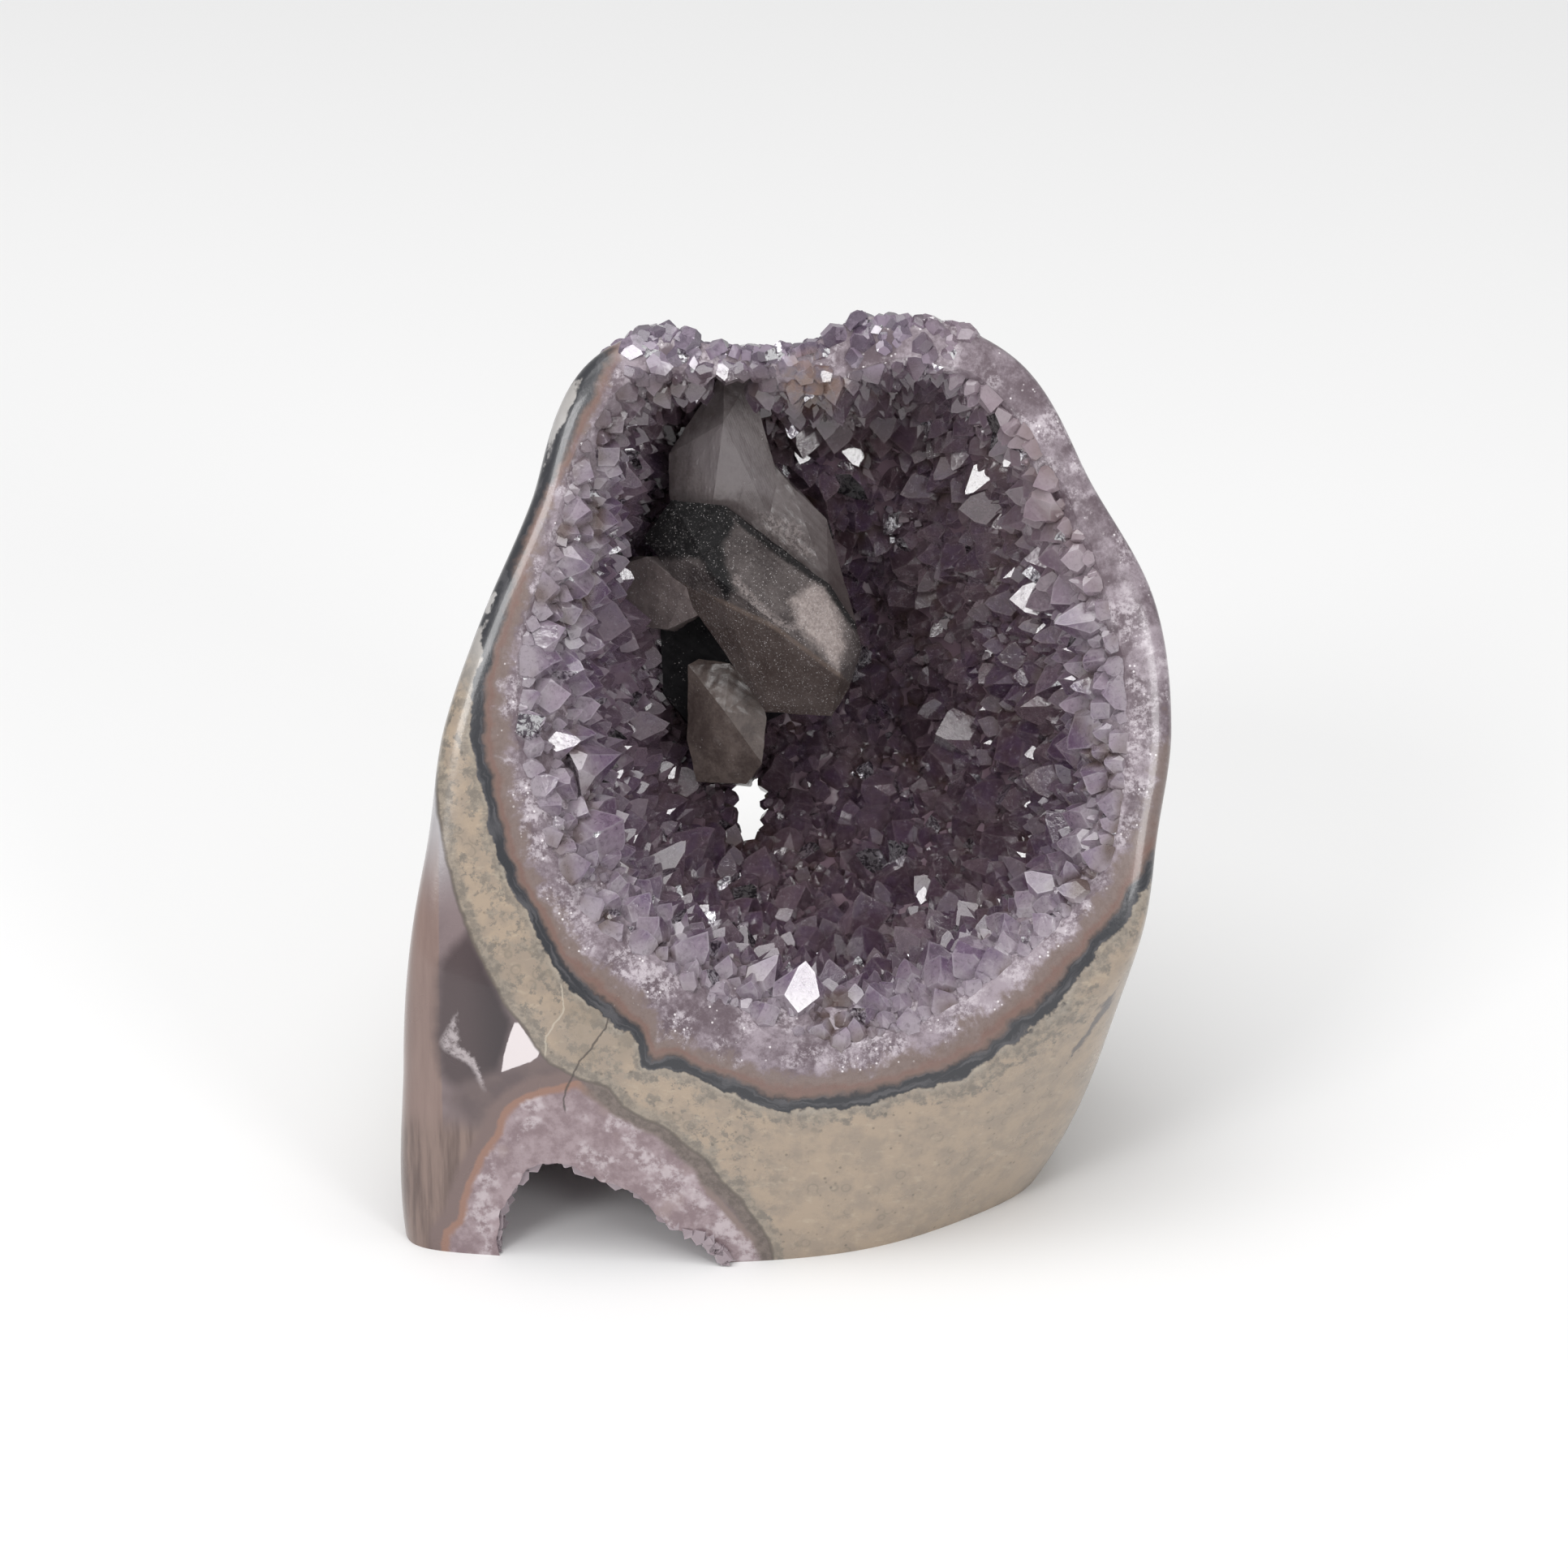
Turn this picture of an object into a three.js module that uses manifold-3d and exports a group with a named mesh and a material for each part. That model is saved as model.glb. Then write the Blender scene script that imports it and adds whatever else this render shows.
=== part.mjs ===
// A cut-base amethyst druse: a free-standing lump of rock that holds a crystal-lined agate nodule.
// Its front is one flat polished face that leans back, with the main hollow open in it. A second,
// smaller nodule is cut open at the foot on the left. A dogtooth calcite cluster stands in the
// main hollow. Millimetres, +Z up, origin on the floor at the middle of the footprint.

import * as THREE from 'three';
import { mergeVertices } from 'three/addons/utils/BufferGeometryUtils.js';
import Module from 'manifold-3d';

const wasm = await Module();
wasm.setup();

// Driving dimensions
const FACE_LEAN = 25;                 // degrees that the polished face leans back
const CENTRE = [2.2, 6.1, 69.6];     // middle of the rock, from which its radii are measured
const GAP = 0.3;                      // clearance between a crust or cluster and its wall

// Rock: radii of its outline in the plane of the face, every 20 degrees from -180
const OUTLINE = [55.4, 62.4, 82.5, 116, 112, 104, 90.3, 70.7, 60,
  59, 59.8, 60.2, 67.4, 67, 65.8, 65.8, 54.7, 52.4];
const TAPER_ALL = 0.001;              // narrowing towards the back, per mm
const TAPER_RIGHT = 0.003;            // what the right side narrows beyond that
const FACE_OUT = 31;                  // the polished face, in front of the middle
const EDGE_SHARPNESS = 22;            // higher is a tighter edge between two flats
const ROCK_DETAIL = 10;
const FACE = { facing: [0.03, -0.906, 0.422], out: FACE_OUT };
// Ground flats: the way that each one faces, and its distance from the middle
const FRONT_FLAT = { facing: [-0.12, -0.993, 0.02], out: 51 };
const FLATS = [
  FRONT_FLAT,
  { facing: [0.16, -0.972, -0.17], out: 58.9 },
  { facing: [0.567, -0.739, -0.364], out: 66.6 },
  { facing: [-0.722, -0.692, 0.03], out: 81.6 },
  { facing: [0, 0.998, -0.06], out: 37.3 },
  { facing: [0, 0.8, 0.6], out: 55.8 },
  { facing: [0.6, 0.8, 0.05], out: 42.1 },
  { facing: [-0.6, 0.8, -0.05], out: 47.6 },
  { facing: [0.855, 0.352, -0.382], out: 67 },
];

// Hollows, as the wall that the crystals stand on: middle, depth and the radii of the mouth at even
// angles from -180. The main one is in the frame of the face: right, up the face, out of the face.
// The foot hollow lies level, and its middle is in the part's own frame.
const HOLLOW = {
  at: [4.5, 4.6, 24], deep: 51, lumps: 0.022, detail: 5, flareDepth: 47,
  mouth: [46.5, 47.5, 48.5, 49, 50, 52, 53.6, 53, 52, 52, 51.2, 49,
    47.5, 47.3, 48.3, 50.8, 55, 55.5, 50.5, 51.8, 57, 53.5, 48.5, 47],
};
const FOOT_HOLLOW = {
  at: [-29.5, -34, 0], deep: 44, lumps: 0.03, detail: 3, level: true,
  mouth: [16.2, 15.7, 15.2, 15.2, 16.2, 18.2, 20.2, 14, 13.8, 15.6, 18.8, 17.2],
};
const BELLY_SHARE = 0.86;             // how wide the main hollow is inside, as a share of its mouth
const TOP_ROOM = 0.11;                // what its top has beyond that share
const MOUTH_REACH = 20;               // how far out of its middle the flare goes on
const NOTCH = { at: [-5.5, 75.5, 5], semi: [20, 18.2, 75], lumps: 0.03, detail: 4 };
const HOLE = { at: [-8, -12.8, -32], length: 44, front: 5, back: 7, sides: 10 };

// Crusts: the sheet that the crystals grow from, and the crystals
const MAIN_CRUST = { sheet: 3, crystals: 208, radius: [5.2, 7], height: [6.5, 9.5], tilt: 10 };
const FOOT_CRUST = { sheet: 2, crystals: 84, radius: [3, 4], height: [3.2, 4.8], tilt: 10 };
const ROOT_DEPTH = 0.9;               // how deep a crystal's root goes into the sheet
const FLUSH = 0.4;                    // how far behind the polished face the crystals are ground
const FRONT_FLUSH = 1.2;              // the same at the foot, behind the ground front
const FLOOR_CLEARANCE = 1;            // how far above the floor the foot crust ends
const OVERHANG = 3;                   // how far beyond a ground flat a crystal's root may stand
const HOLE_LIP = 1;                   // how far the crust stands into the see-through hole
const SLAB = 400;                     // larger than the part, for what is ground away
const SLOPE_STEP = 0.4;               // how far apart a wall's slope is measured
const TINY = 1e-6;                    // keeps a division from being by nothing

// Calcite: the corners of each crystal, in the frame of the face
const CALCITE = {
  blade: [[-11.9, 56.5, 17], [-7.8, 55, 17], [-12, 48, 18], [-9, 38, 13], [-5.6, 44.3, 12],
    [-20.8, 43.6, 9], [-20.6, 36.6, 7], [-16, 20, 3], [2, 20, 3], [-8, 26, 7], [-14, 46, -2],
    [0, 28, -6], [-14, 18, -8]],
  shoulder: [[-6, 44, 11], [-1.3, 38.5, 10.5], [4.3, 33.3, 7.5], [5.8, 24, 6], [9, 17, 4],
    [-9, 36, 11], [-7, 31, 10], [4.5, 22.5, 8], [-2, 20, -4], [4, 34, -3], [7, 18, -4],
    [-6, 40, -2]],
  bar: [[-24.7, 30.5, 9], [-20.2, 36.2, 11], [-11.6, 35.2, 13], [-7.1, 31.4, 13.5],
    [4.7, 22.8, 12], [8.9, 16.6, 10], [9.8, 12.8, 8.5], [7.7, 6.4, 7], [5.1, 2.1, 5],
    [-13.5, 24, 16], [-4.5, 17.2, 16.5], [6.4, 8.7, 12], [-13, 19.5, 10], [-9.7, 11.5, 6],
    [-5.4, 2.9, 4], [1.9, 3, 4], [-20, 32, -3], [-8, 24, -6], [4, 12, -4], [-4, 6, -5]],
  stub: [[-24.5, 27.5, 6], [-15.6, 27.8, 8], [-11.4, 22.2, 9], [-13.6, 19.4, 8], [-21.1, 16, 3],
    [-23.8, 22, 4], [-18, 22.5, 9], [-36, 24, -8], [-35, 18, -9], [-30, 28, -8],
    [-16, 22, -8], [-20, 16, -8]],
  block: [[-17.9, 10.5, -4], [-16.2, 11.5, -4], [-11.2, 10.7, -2], [-6.6, 6.5, -1], [-5.3, 2, -2],
    [-6, -5.3, -4], [-8.6, -8.6, -7], [-16.7, -8.2, -8], [-18.1, -1.4, -6], [-12, 3, -0.5],
    [-16, 8, -26], [-7, 6, -26], [-8, -9, -27], [-16, -8, -27]],
  root: [[-22.5, 19, -7], [-8, 19, -5], [-6, 8, -6], [-9, 0, -8], [-16, -1, -10], [-22, 6, -9],
    [-20, 20, -38], [-2, 22, -38], [0, 4, -38], [-16, -2, -36]],
};

// Finishes
const FINISH = {
  rock: { color: 0xa5988a, roughness: 0.35, metalness: 0 },
  amethyst: { color: 0x6d5a72, roughness: 0.2, metalness: 0 },
  paleQuartz: { color: 0xb3a3aa, roughness: 0.3, metalness: 0 },
  calcite: { color: 0x736a6b, roughness: 0.45, metalness: 0 },
};

const lean = THREE.MathUtils.degToRad(FACE_LEAN);
const middle = new THREE.Vector3(...CENTRE);
const down = new THREE.Vector3(0, 0, -1);
const rightward = new THREE.Vector3(1, 0, 0);
const upFace = new THREE.Vector3(0, Math.sin(lean), Math.cos(lean));
const outOfFace = new THREE.Vector3(0, -Math.cos(lean), Math.sin(lean));
const towardsFace = new THREE.Vector3(...FACE.facing).normalize();
const frontward = new THREE.Vector3(...FRONT_FLAT.facing).normalize();
const faceFrame = new THREE.Matrix4().makeBasis(rightward, upFace, outOfFace).setPosition(middle);

// A repeatable stream of numbers between 0 and 1
function numberStream(seed) {
  let state = seed;
  return () => {
    state = (state + 0x6d2b79f5) | 0;
    let t = Math.imul(state ^ (state >>> 15), 1 | state);
    t = (t + Math.imul(t ^ (t >>> 7), 61 | t)) ^ t;
    return ((t ^ (t >>> 14)) >>> 0) / 4294967296;
  };
}

function solidFrom(geometry) {
  geometry.deleteAttribute('normal');
  geometry.deleteAttribute('uv');
  const merged = mergeVertices(geometry, 1e-4);
  return new wasm.Manifold(new wasm.Mesh({
    numProp: 3,
    vertProperties: new Float32Array(merged.attributes.position.array),
    triVerts: new Uint32Array(merged.index.array),
  }));
}

function joined(solids) {
  let layer = solids;
  while (layer.length > 1) {
    const next = [];
    for (let i = 0; i < layer.length; i += 2) {
      next.push(i + 1 < layer.length ? layer[i].add(layer[i + 1]) : layer[i]);
    }
    layer = next;
  }
  return layer[0];
}

// The largest piece of a solid, without the crumbs that grinding a crust parts from it
function largestPiece(solid) {
  const pieces = solid.decompose();
  return pieces.reduce((best, piece) => (piece.volume() > best.volume() ? piece : best));
}

function meshFrom(name, solid, finish) {
  const { vertProperties, triVerts } = solid.getMesh();
  const geometry = new THREE.BufferGeometry();
  geometry.setAttribute('position', new THREE.BufferAttribute(vertProperties, 3));
  geometry.setIndex(new THREE.BufferAttribute(triVerts, 1));
  const mesh = new THREE.Mesh(geometry, new THREE.MeshStandardMaterial(finish));
  mesh.name = name;
  return mesh;
}

// A closed form whose radius is given for every direction from its middle
function formAround(detail, radiusAt) {
  const geometry = new THREE.IcosahedronGeometry(1, detail);
  const points = geometry.attributes.position;
  const direction = new THREE.Vector3();
  for (let i = 0; i < points.count; i += 1) {
    direction.fromBufferAttribute(points, i).normalize();
    const radius = radiusAt(direction);
    points.setXYZ(i, direction.x * radius, direction.y * radius, direction.z * radius);
  }
  return geometry;
}

// A smooth closed curve through values that stand at even angles from -180
function curveAt(values, angle) {
  const count = values.length;
  const place = ((angle + 180) * count) / 360;
  const step = Math.floor(place);
  const t = place - step;
  const [a, b, c, d] = [-1, 0, 1, 2].map((k) => values[(step + k + count) % count]);
  return b + 0.5 * t * (c - a + t * (2 * a - 5 * b + 4 * c - d + t * (3 * (b - c) + d - a)));
}

// Each flat and the tapering side asks for a radius; the smallest wins, with a rounded edge
function rockRadius(direction) {
  const across = direction.dot(rightward);
  const up = direction.dot(upFace);
  const back = -direction.dot(outOfFace);
  const angle = Math.atan2(up, across);
  const side = curveAt(OUTLINE, THREE.MathUtils.radToDeg(angle));
  const taper = TAPER_ALL + TAPER_RIGHT * Math.max(Math.cos(angle), 0);
  const sideways = Math.hypot(across, up) + side * taper * back;
  let sum = Math.max(sideways / (side * (1 - FACE_OUT * taper)), 0) ** EDGE_SHARPNESS;
  for (const { facing, out } of FLATS) {
    const towards = direction.dot(new THREE.Vector3(...facing).normalize());
    sum += (Math.max(towards, 0) / out) ** EDGE_SHARPNESS;
  }
  return sum ** (-1 / EDGE_SHARPNESS);
}

// The main hollow's cross-section follows its mouth: a belly a little less than the mouth, roomier
// at the top, that flares to the mouth
function bellyRadius({ at, deep, flareDepth }, mouth, across, d) {
  const top = Math.max(d.y / across, 0);
  const belly = mouth * (BELLY_SHARE + TOP_ROOM * top * top);
  const rim = FACE_OUT - at[2];
  const flare = (1 - rim / flareDepth) / Math.max(across / mouth - d.z / flareDepth, TINY);
  const limit = MOUTH_REACH / Math.max(d.z, TINY);
  return Math.max(1 / Math.hypot(across / belly, d.z / deep), Math.min(flare, limit));
}

// A hollow's radius: a lumpy ellipsoid, or a form whose cross-section follows its mouth
function hollowRadius(hollow, d) {
  const { semi, mouth, deep, level, lumps } = hollow;
  let plain;
  if (mouth) {
    const across = Math.max(Math.hypot(d.x, d.y), TINY);
    const width = curveAt(mouth, THREE.MathUtils.radToDeg(Math.atan2(d.y, d.x)));
    plain = level ? 1 / Math.hypot(across / width, d.z / deep)
      : bellyRadius(hollow, width, across, d);
  } else {
    plain = 1 / Math.hypot(d.x / semi[0], d.y / semi[1], d.z / semi[2]);
  }
  const wave = Math.sin(5.1 * d.x + 1.3) * Math.sin(4.3 * d.y + 0.4)
    + 0.6 * Math.sin(8.7 * d.z + 5.9 * d.x) * Math.cos(7.1 * d.y);
  return plain * (1 + lumps * wave);
}

// Where a hollow's own frame stands: at its middle, level or in the frame of the face
function frameOf({ at, level }) {
  const place = new THREE.Matrix4();
  if (!level) return place.setPosition(...at).premultiply(faceFrame);
  return place.makeBasis(rightward, new THREE.Vector3(0, 0, 1), new THREE.Vector3(0, -1, 0))
    .setPosition(...at);
}

// A hollow's form, grown outward from the wall that its crystals stand on
function hollowForm(hollow, grow) {
  const geometry = formAround(hollow.detail, (d) => hollowRadius(hollow, d) + grow);
  return solidFrom(geometry.applyMatrix4(frameOf(hollow)));
}

// Which way a hollow's wall faces at a place on it
function inwardAt(hollow, place) {
  const outside = (axis, offset) => {
    const spot = place.clone();
    spot.setComponent(axis, spot.getComponent(axis) + offset);
    return spot.length() - hollowRadius(hollow, spot.normalize());
  };
  const slopes = [0, 1, 2].map((axis) => outside(axis, -SLOPE_STEP) - outside(axis, SLOPE_STEP));
  return new THREE.Vector3(...slopes).normalize();
}

// Everything on the far side of a plane that faces the given way
function beyond(facing, distance, from) {
  const slab = new THREE.BoxGeometry(SLAB, SLAB, SLAB);
  slab.translate(0, 0, SLAB / 2 + distance);
  const turn = new THREE.Quaternion().setFromUnitVectors(new THREE.Vector3(0, 0, 1), facing);
  slab.applyQuaternion(turn);
  slab.translate(from.x, from.y, from.z);
  return solidFrom(slab);
}

// The see-through hole runs straight back along the line of the face
function holeForm(inset) {
  const { at, length, front, back, sides } = HOLE;
  const drill = new THREE.CylinderGeometry(front - inset, back - inset, length, sides);
  drill.rotateX(Math.PI / 2);
  drill.translate(...at);
  return solidFrom(drill.applyMatrix4(faceFrame));
}

function makeRock() {
  const form = formAround(ROCK_DETAIL, rockRadius);
  form.translate(...CENTRE);
  return solidFrom(form)
    .subtract(beyond(down, 0, new THREE.Vector3()))
    .subtract(beyond(towardsFace, FACE_OUT, middle))
    .subtract(hollowForm(HOLLOW, MAIN_CRUST.sheet + GAP))
    .subtract(hollowForm(FOOT_HOLLOW, FOOT_CRUST.sheet + GAP))
    .subtract(hollowForm(NOTCH, 0))
    .subtract(holeForm(0));
}

// One crystal: a six-sided pyramid with its root in the sheet and its tip pointing into the hollow
function crystalForm(place, pointing, radius, height, spin) {
  const pyramid = new THREE.ConeGeometry(radius, height, 6, 1);
  pyramid.rotateY(spin);
  pyramid.translate(0, height / 2, 0);
  const turn = new THREE.Quaternion().setFromUnitVectors(new THREE.Vector3(0, 1, 0), pointing);
  pyramid.applyQuaternion(turn);
  pyramid.translate(place.x, place.y, place.z);
  return pyramid;
}

// Crystals spread evenly over a hollow's wall, each tipped a little off square
function crystalsOn(hollow, crust, seed, keep) {
  const random = numberStream(seed);
  const between = ([low, high]) => low + (high - low) * random();
  const goldenAngle = Math.PI * (3 - Math.sqrt(5));
  const tilt = 2 * Math.tan(THREE.MathUtils.degToRad(crust.tilt));
  const solids = [];
  for (let i = 0; i < crust.crystals; i += 1) {
    const z = 1 - (2 * (i + 0.5)) / crust.crystals;
    const ring = Math.sqrt(1 - z * z);
    const turn = i * goldenAngle + 0.25 * random();
    const direction = new THREE.Vector3(ring * Math.cos(turn), ring * Math.sin(turn), z);
    const place = direction.multiplyScalar(hollowRadius(hollow, direction) + ROOT_DEPTH);
    const aside = new THREE.Vector3(random() - 0.5, random() - 0.5, random() - 0.5);
    const pointing = inwardAt(hollow, place).addScaledVector(aside, tilt).normalize();
    const radius = between(crust.radius);
    const height = between(crust.height);
    const spin = random() * Math.PI;
    if (!keep(place)) continue;
    const pyramid = crystalForm(place, pointing, radius, height, spin);
    solids.push(solidFrom(pyramid.applyMatrix4(frameOf(hollow))));
  }
  return joined(solids);
}

function crustOn(hollow, crust, seed, keep) {
  const outside = hollowForm(hollow, crust.sheet);
  const sheet = outside.subtract(hollowForm(hollow, 0));
  return sheet.add(crystalsOn(hollow, crust, seed, keep).intersect(outside));
}

function makeMainCrust(cluster) {
  const room = FACE_OUT - HOLLOW.at[2] + OVERHANG;
  const crust = crustOn(HOLLOW, MAIN_CRUST, 11, (place) => place.z < room)
    .subtract(beyond(towardsFace, FACE_OUT - FLUSH, middle))
    .subtract(hollowForm(NOTCH, GAP))
    .subtract(holeForm(HOLE_LIP))
    .subtract(cluster);
  return largestPiece(crust);
}

function makeFootCrust() {
  const low = FLOOR_CLEARANCE - FOOT_CRUST.height[1];
  const isInside = (place) => {
    const spot = place.clone().applyMatrix4(frameOf(FOOT_HOLLOW));
    return spot.z > low && spot.sub(middle).dot(frontward) < FRONT_FLAT.out + OVERHANG;
  };
  const crust = crustOn(FOOT_HOLLOW, FOOT_CRUST, 23, isInside)
    .subtract(beyond(down, -FLOOR_CLEARANCE, new THREE.Vector3()))
    .subtract(beyond(frontward, FRONT_FLAT.out - FRONT_FLUSH, middle));
  return largestPiece(crust);
}

// The hull of a crystal's corners, grown by a margin on every side
function crystalHull(corners, grow) {
  const sides = grow ? [-grow, grow] : [0];
  const points = corners.flatMap(([x, y, z]) => sides.flatMap((dx) => sides.flatMap(
    (dy) => sides.map((dz) => [x + dx, y + dy, z + dz]),
  )));
  return wasm.Manifold.hull(points);
}

function makeCluster(grow) {
  const crystals = joined(Object.values(CALCITE).map((corners) => crystalHull(corners, grow)));
  return crystals.transform(faceFrame.elements)
    .intersect(hollowForm(HOLLOW, MAIN_CRUST.sheet + grow));
}

const druse = new THREE.Group();
druse.add(
  meshFrom('geode_rock', makeRock(), FINISH.rock),
  meshFrom('amethyst_crust', makeMainCrust(makeCluster(GAP)), FINISH.amethyst),
  meshFrom('foot_crust', makeFootCrust(), FINISH.paleQuartz),
  meshFrom('calcite_cluster', makeCluster(0), FINISH.calcite),
);

export default druse;
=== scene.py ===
import math

import bmesh
import bpy
import numpy as np
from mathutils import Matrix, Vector


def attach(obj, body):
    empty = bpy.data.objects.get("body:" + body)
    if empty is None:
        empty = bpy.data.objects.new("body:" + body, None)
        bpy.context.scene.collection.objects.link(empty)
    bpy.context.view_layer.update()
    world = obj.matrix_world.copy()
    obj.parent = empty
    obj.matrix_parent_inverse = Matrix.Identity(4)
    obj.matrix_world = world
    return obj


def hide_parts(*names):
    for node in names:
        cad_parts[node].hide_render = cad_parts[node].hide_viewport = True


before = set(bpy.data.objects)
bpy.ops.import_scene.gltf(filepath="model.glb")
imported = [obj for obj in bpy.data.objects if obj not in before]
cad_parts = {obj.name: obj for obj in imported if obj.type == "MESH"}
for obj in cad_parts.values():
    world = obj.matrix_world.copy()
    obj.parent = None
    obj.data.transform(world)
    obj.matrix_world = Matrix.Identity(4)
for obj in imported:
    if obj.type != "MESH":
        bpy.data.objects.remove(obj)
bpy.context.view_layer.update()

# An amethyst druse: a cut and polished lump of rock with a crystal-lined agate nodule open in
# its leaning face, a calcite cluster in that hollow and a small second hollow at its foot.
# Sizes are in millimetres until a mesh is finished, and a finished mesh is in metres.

MM = 0.001

# The frame of the polished face: right, up the face, out of the face
FACE_LEAN = math.radians(25)
MIDDLE = np.array([2.2, 6.1, 69.6])
RIGHT = np.array([1.0, 0.0, 0.0])
UP = np.array([0.0, math.sin(FACE_LEAN), math.cos(FACE_LEAN)])
OUT = np.array([0.0, -math.cos(FACE_LEAN), math.sin(FACE_LEAN)])
FACE_AXES = np.array([RIGHT, UP, OUT])

# Rock: the outline's radii every 20 degrees from -180, and the ground flats
OUTLINE = [55.4, 62.4, 82.5, 116, 112, 104, 90.3, 70.7, 60,
           59, 59.8, 60.2, 67.4, 67, 65.8, 65.8, 54.7, 52.4]
TAPER_ALL = 0.001
TAPER_RIGHT = 0.003
FACE_OUT = 31.0
EDGE_SHARPNESS = 22
FACE = ((0.03, -0.906, 0.422), FACE_OUT)
FLATS = [
    FACE,
    ((-0.12, -0.993, 0.02), 51.0),
    ((0.16, -0.972, -0.17), 58.9),
    ((0.567, -0.739, -0.364), 66.6),
    ((-0.722, -0.692, 0.03), 81.6),
    ((0.0, 0.998, -0.06), 37.3),
    ((0.0, 0.8, 0.6), 55.8),
    ((0.6, 0.8, 0.05), 42.1),
    ((-0.6, 0.8, -0.05), 47.6),
    ((0.855, 0.352, -0.382), 67.0),
]
RING_STEPS = 360
RINGS = 190

# Where along the rings, from the face's middle to its back, they stand at which share of the
# angle to the face's edge. They are drawn together at that edge, and the last is straight behind.
RING_PLACES = [0, 0.36, 0.44, 0.62, 0.7, 1]
RING_SHARES = [0, 0.86, 0.955, 1.09, 1.2]
SHARP_FROM = math.radians(32)

# Hollows: middle, depth, lumpiness and the mouth's radii at even angles from -180. The main one
# is in the frame of the face, and the one at the foot is level, in the frame of the world.
HOLLOW = {"at": (4.5, 4.6, 24), "deep": 51, "lumps": 0.022,
          "mouth": [46.5, 47.5, 48.5, 49, 50, 52, 53.6, 53, 52, 52, 51.2, 49,
                    47.5, 47.3, 48.3, 50.8, 55, 55.5, 50.5, 51.8, 57, 53.5, 48.5, 47]}
FOOT_HOLLOW = {"at": (-29.5, -34, 0), "deep": 44, "lumps": 0.03, "level": True,
               "mouth": [16.2, 15.7, 15.2, 15.2, 16.2, 18.2, 20.2, 14, 13.8, 15.6, 18.8, 17.2]}
NOTCH = {"at": (-6.5, 68, 5), "semi": (17.5, 10.6, 75), "lumps": 0.03}
SHELF = {"at": (14, 92.2, 5), "semi": (40, 30.5, 75), "lumps": 0.01}
TIP_ROOM = {"at": (-10.2, 50, 22), "semi": (6.5, 6.9, 14), "lumps": 0.02}
SKIN = {"at": (0, 0, 0), "outward": True}
HOLE = {"at": (-8, -12.8, -32), "length": 44, "front": 5, "back": 7, "lumps": 0.09}
BELLY_SHARE = 0.86
TOP_ROOM = 0.11
FLARE_DEPTH = 47
MOUTH_REACH = 20
WALL_WAVES = 17

# The agate line round the main nodule: its middle and radii every 15 degrees from -180
NODULE_AT = (4.2, 3.5)
NODULE_RADII = [54.8, 54.7, 55.9, 57.9, 57.8, 59.6, 59.7, 58.4, 56.7, 55, 54.7, 54.2,
                56.5, 58, 60, 64, 69, 74, 76, 74, 65, 57.8, 54.2, 53.4]
NODULE_DEPTH = {"middle": 12, "half": 44}
NODULE_NICK = {"angle": -116.6, "half": 2.2, "deep": 2.6}

# The marks below are on the front only, as far back as this
MARKS_TO = -5
FAR = 50

# Where the second nodule's skin meets the tan rock, on the front, right and up the face
VEIN = [(-57, 6), (-56.6, -6), (-55.8, -13.3), (-54.5, -20), (-52.5, -27.9), (-49.5, -35.3),
        (-46.2, -41.9), (-43.9, -45.2), (-40.9, -49.2), (-38.9, -51.9), (-35.9, -53.5),
        (-30, -55.6), (-27.6, -58.5), (-21.2, -62), (-14.6, -67.5), (-9, -74), (-5, -80), (-4, -86)]

# Marks on the front, right and up the face: two cracks and a grey vein in the tan rock, then a
# white vein, dark and mauve patches, a pale wedge that is a painted reflection, and the quartz
# arch in the second nodule
DARK_CRACK = [(-28, -41), (-30.2, -46.5), (-34.3, -52), (-36.6, -56.8), (-36.6, -61)]
LIGHT_CRACK = [(-37, -39), (-36.3, -43.5), (-39.4, -48), (-39.6, -54)]
SIDE_VEIN = [(43, -50.5), (45.5, -46.8), (48.8, -41.5)]
WHITE_VEIN = [(-53.5, -44.6), (-54, -47.2), (-54.8, -48.9), (-52.8, -50.5), (-50.8, -51.9),
              (-50.2, -53.2), (-48.5, -58.5)]
PLUM = [(-55.8, -36), (-51, -31), (-48.6, -36), (-45.9, -41.5), (-44.2, -45.6), (-45.6, -50),
        (-46.5, -53.8), (-53.1, -56.3), (-56, -54), (-56.8, -48)]
REFLECTION_WEDGE = [(-43.9, -45), (-42.6, -47), (-39.9, -50.2), (-41.7, -51.6), (-46.4, -53.3),
         (-45.9, -50.6), (-44.9, -47.4)]
LOBE = [(-54.5, -57.5), (-51.5, -55.6), (-46.4, -53.3), (-41.9, -51.9), (-39.2, -51.2),
        (-33.6, -54.5), (-34.6, -55.8), (-40.6, -57.2), (-44.5, -59.2), (-47.2, -61.8),
        (-51, -62)]
ARCH = [(-55.6, -84), (-55.6, -79.6), (-53.4, -77.3), (-52.2, -73.3), (-50.9, -69.4), (-48.8, -66),
        (-46.8, -63), (-45.9, -60.1), (-43, -57.7), (-39.6, -56.5), (-34.6, -55.3),
        (-28.8, -59.6), (-22, -63), (-17.2, -66.5), (-14.3, -72.3), (-8, -79.6), (-4, -84)]

# Soft round patches, right and up the face: a brown lump in the tan rock and rust at the crest
LUMP = {"at": (-31, -46.5), "semi": (7.07, 6)}
RUST = {"at": (2, 54), "semi": (6, 5.1)}

# Camera
TARGET = (-0.3, 3.1, 61.5)
CAMERA_AWAY = 900
FRAME_WIDTH = 250.9
SENSOR = 36

# Lights: place, then width and height in metres, and power in watts
LIGHTS = {
    "overhead": ((-200, -300, 1700), (1.5, 1.5), 18),
    "front left": ((-800, -1300, 1100), (0.5, 0.5), 8),
    "front right": ((900, -1400, 700), (0.4, 0.5), 6),
}
LIT_SPOT = (0, 0, 70)


def to_world(points):
    """Points in the frame of the face, as world points."""
    return MIDDLE + np.asarray(points, float) @ FACE_AXES


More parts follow.
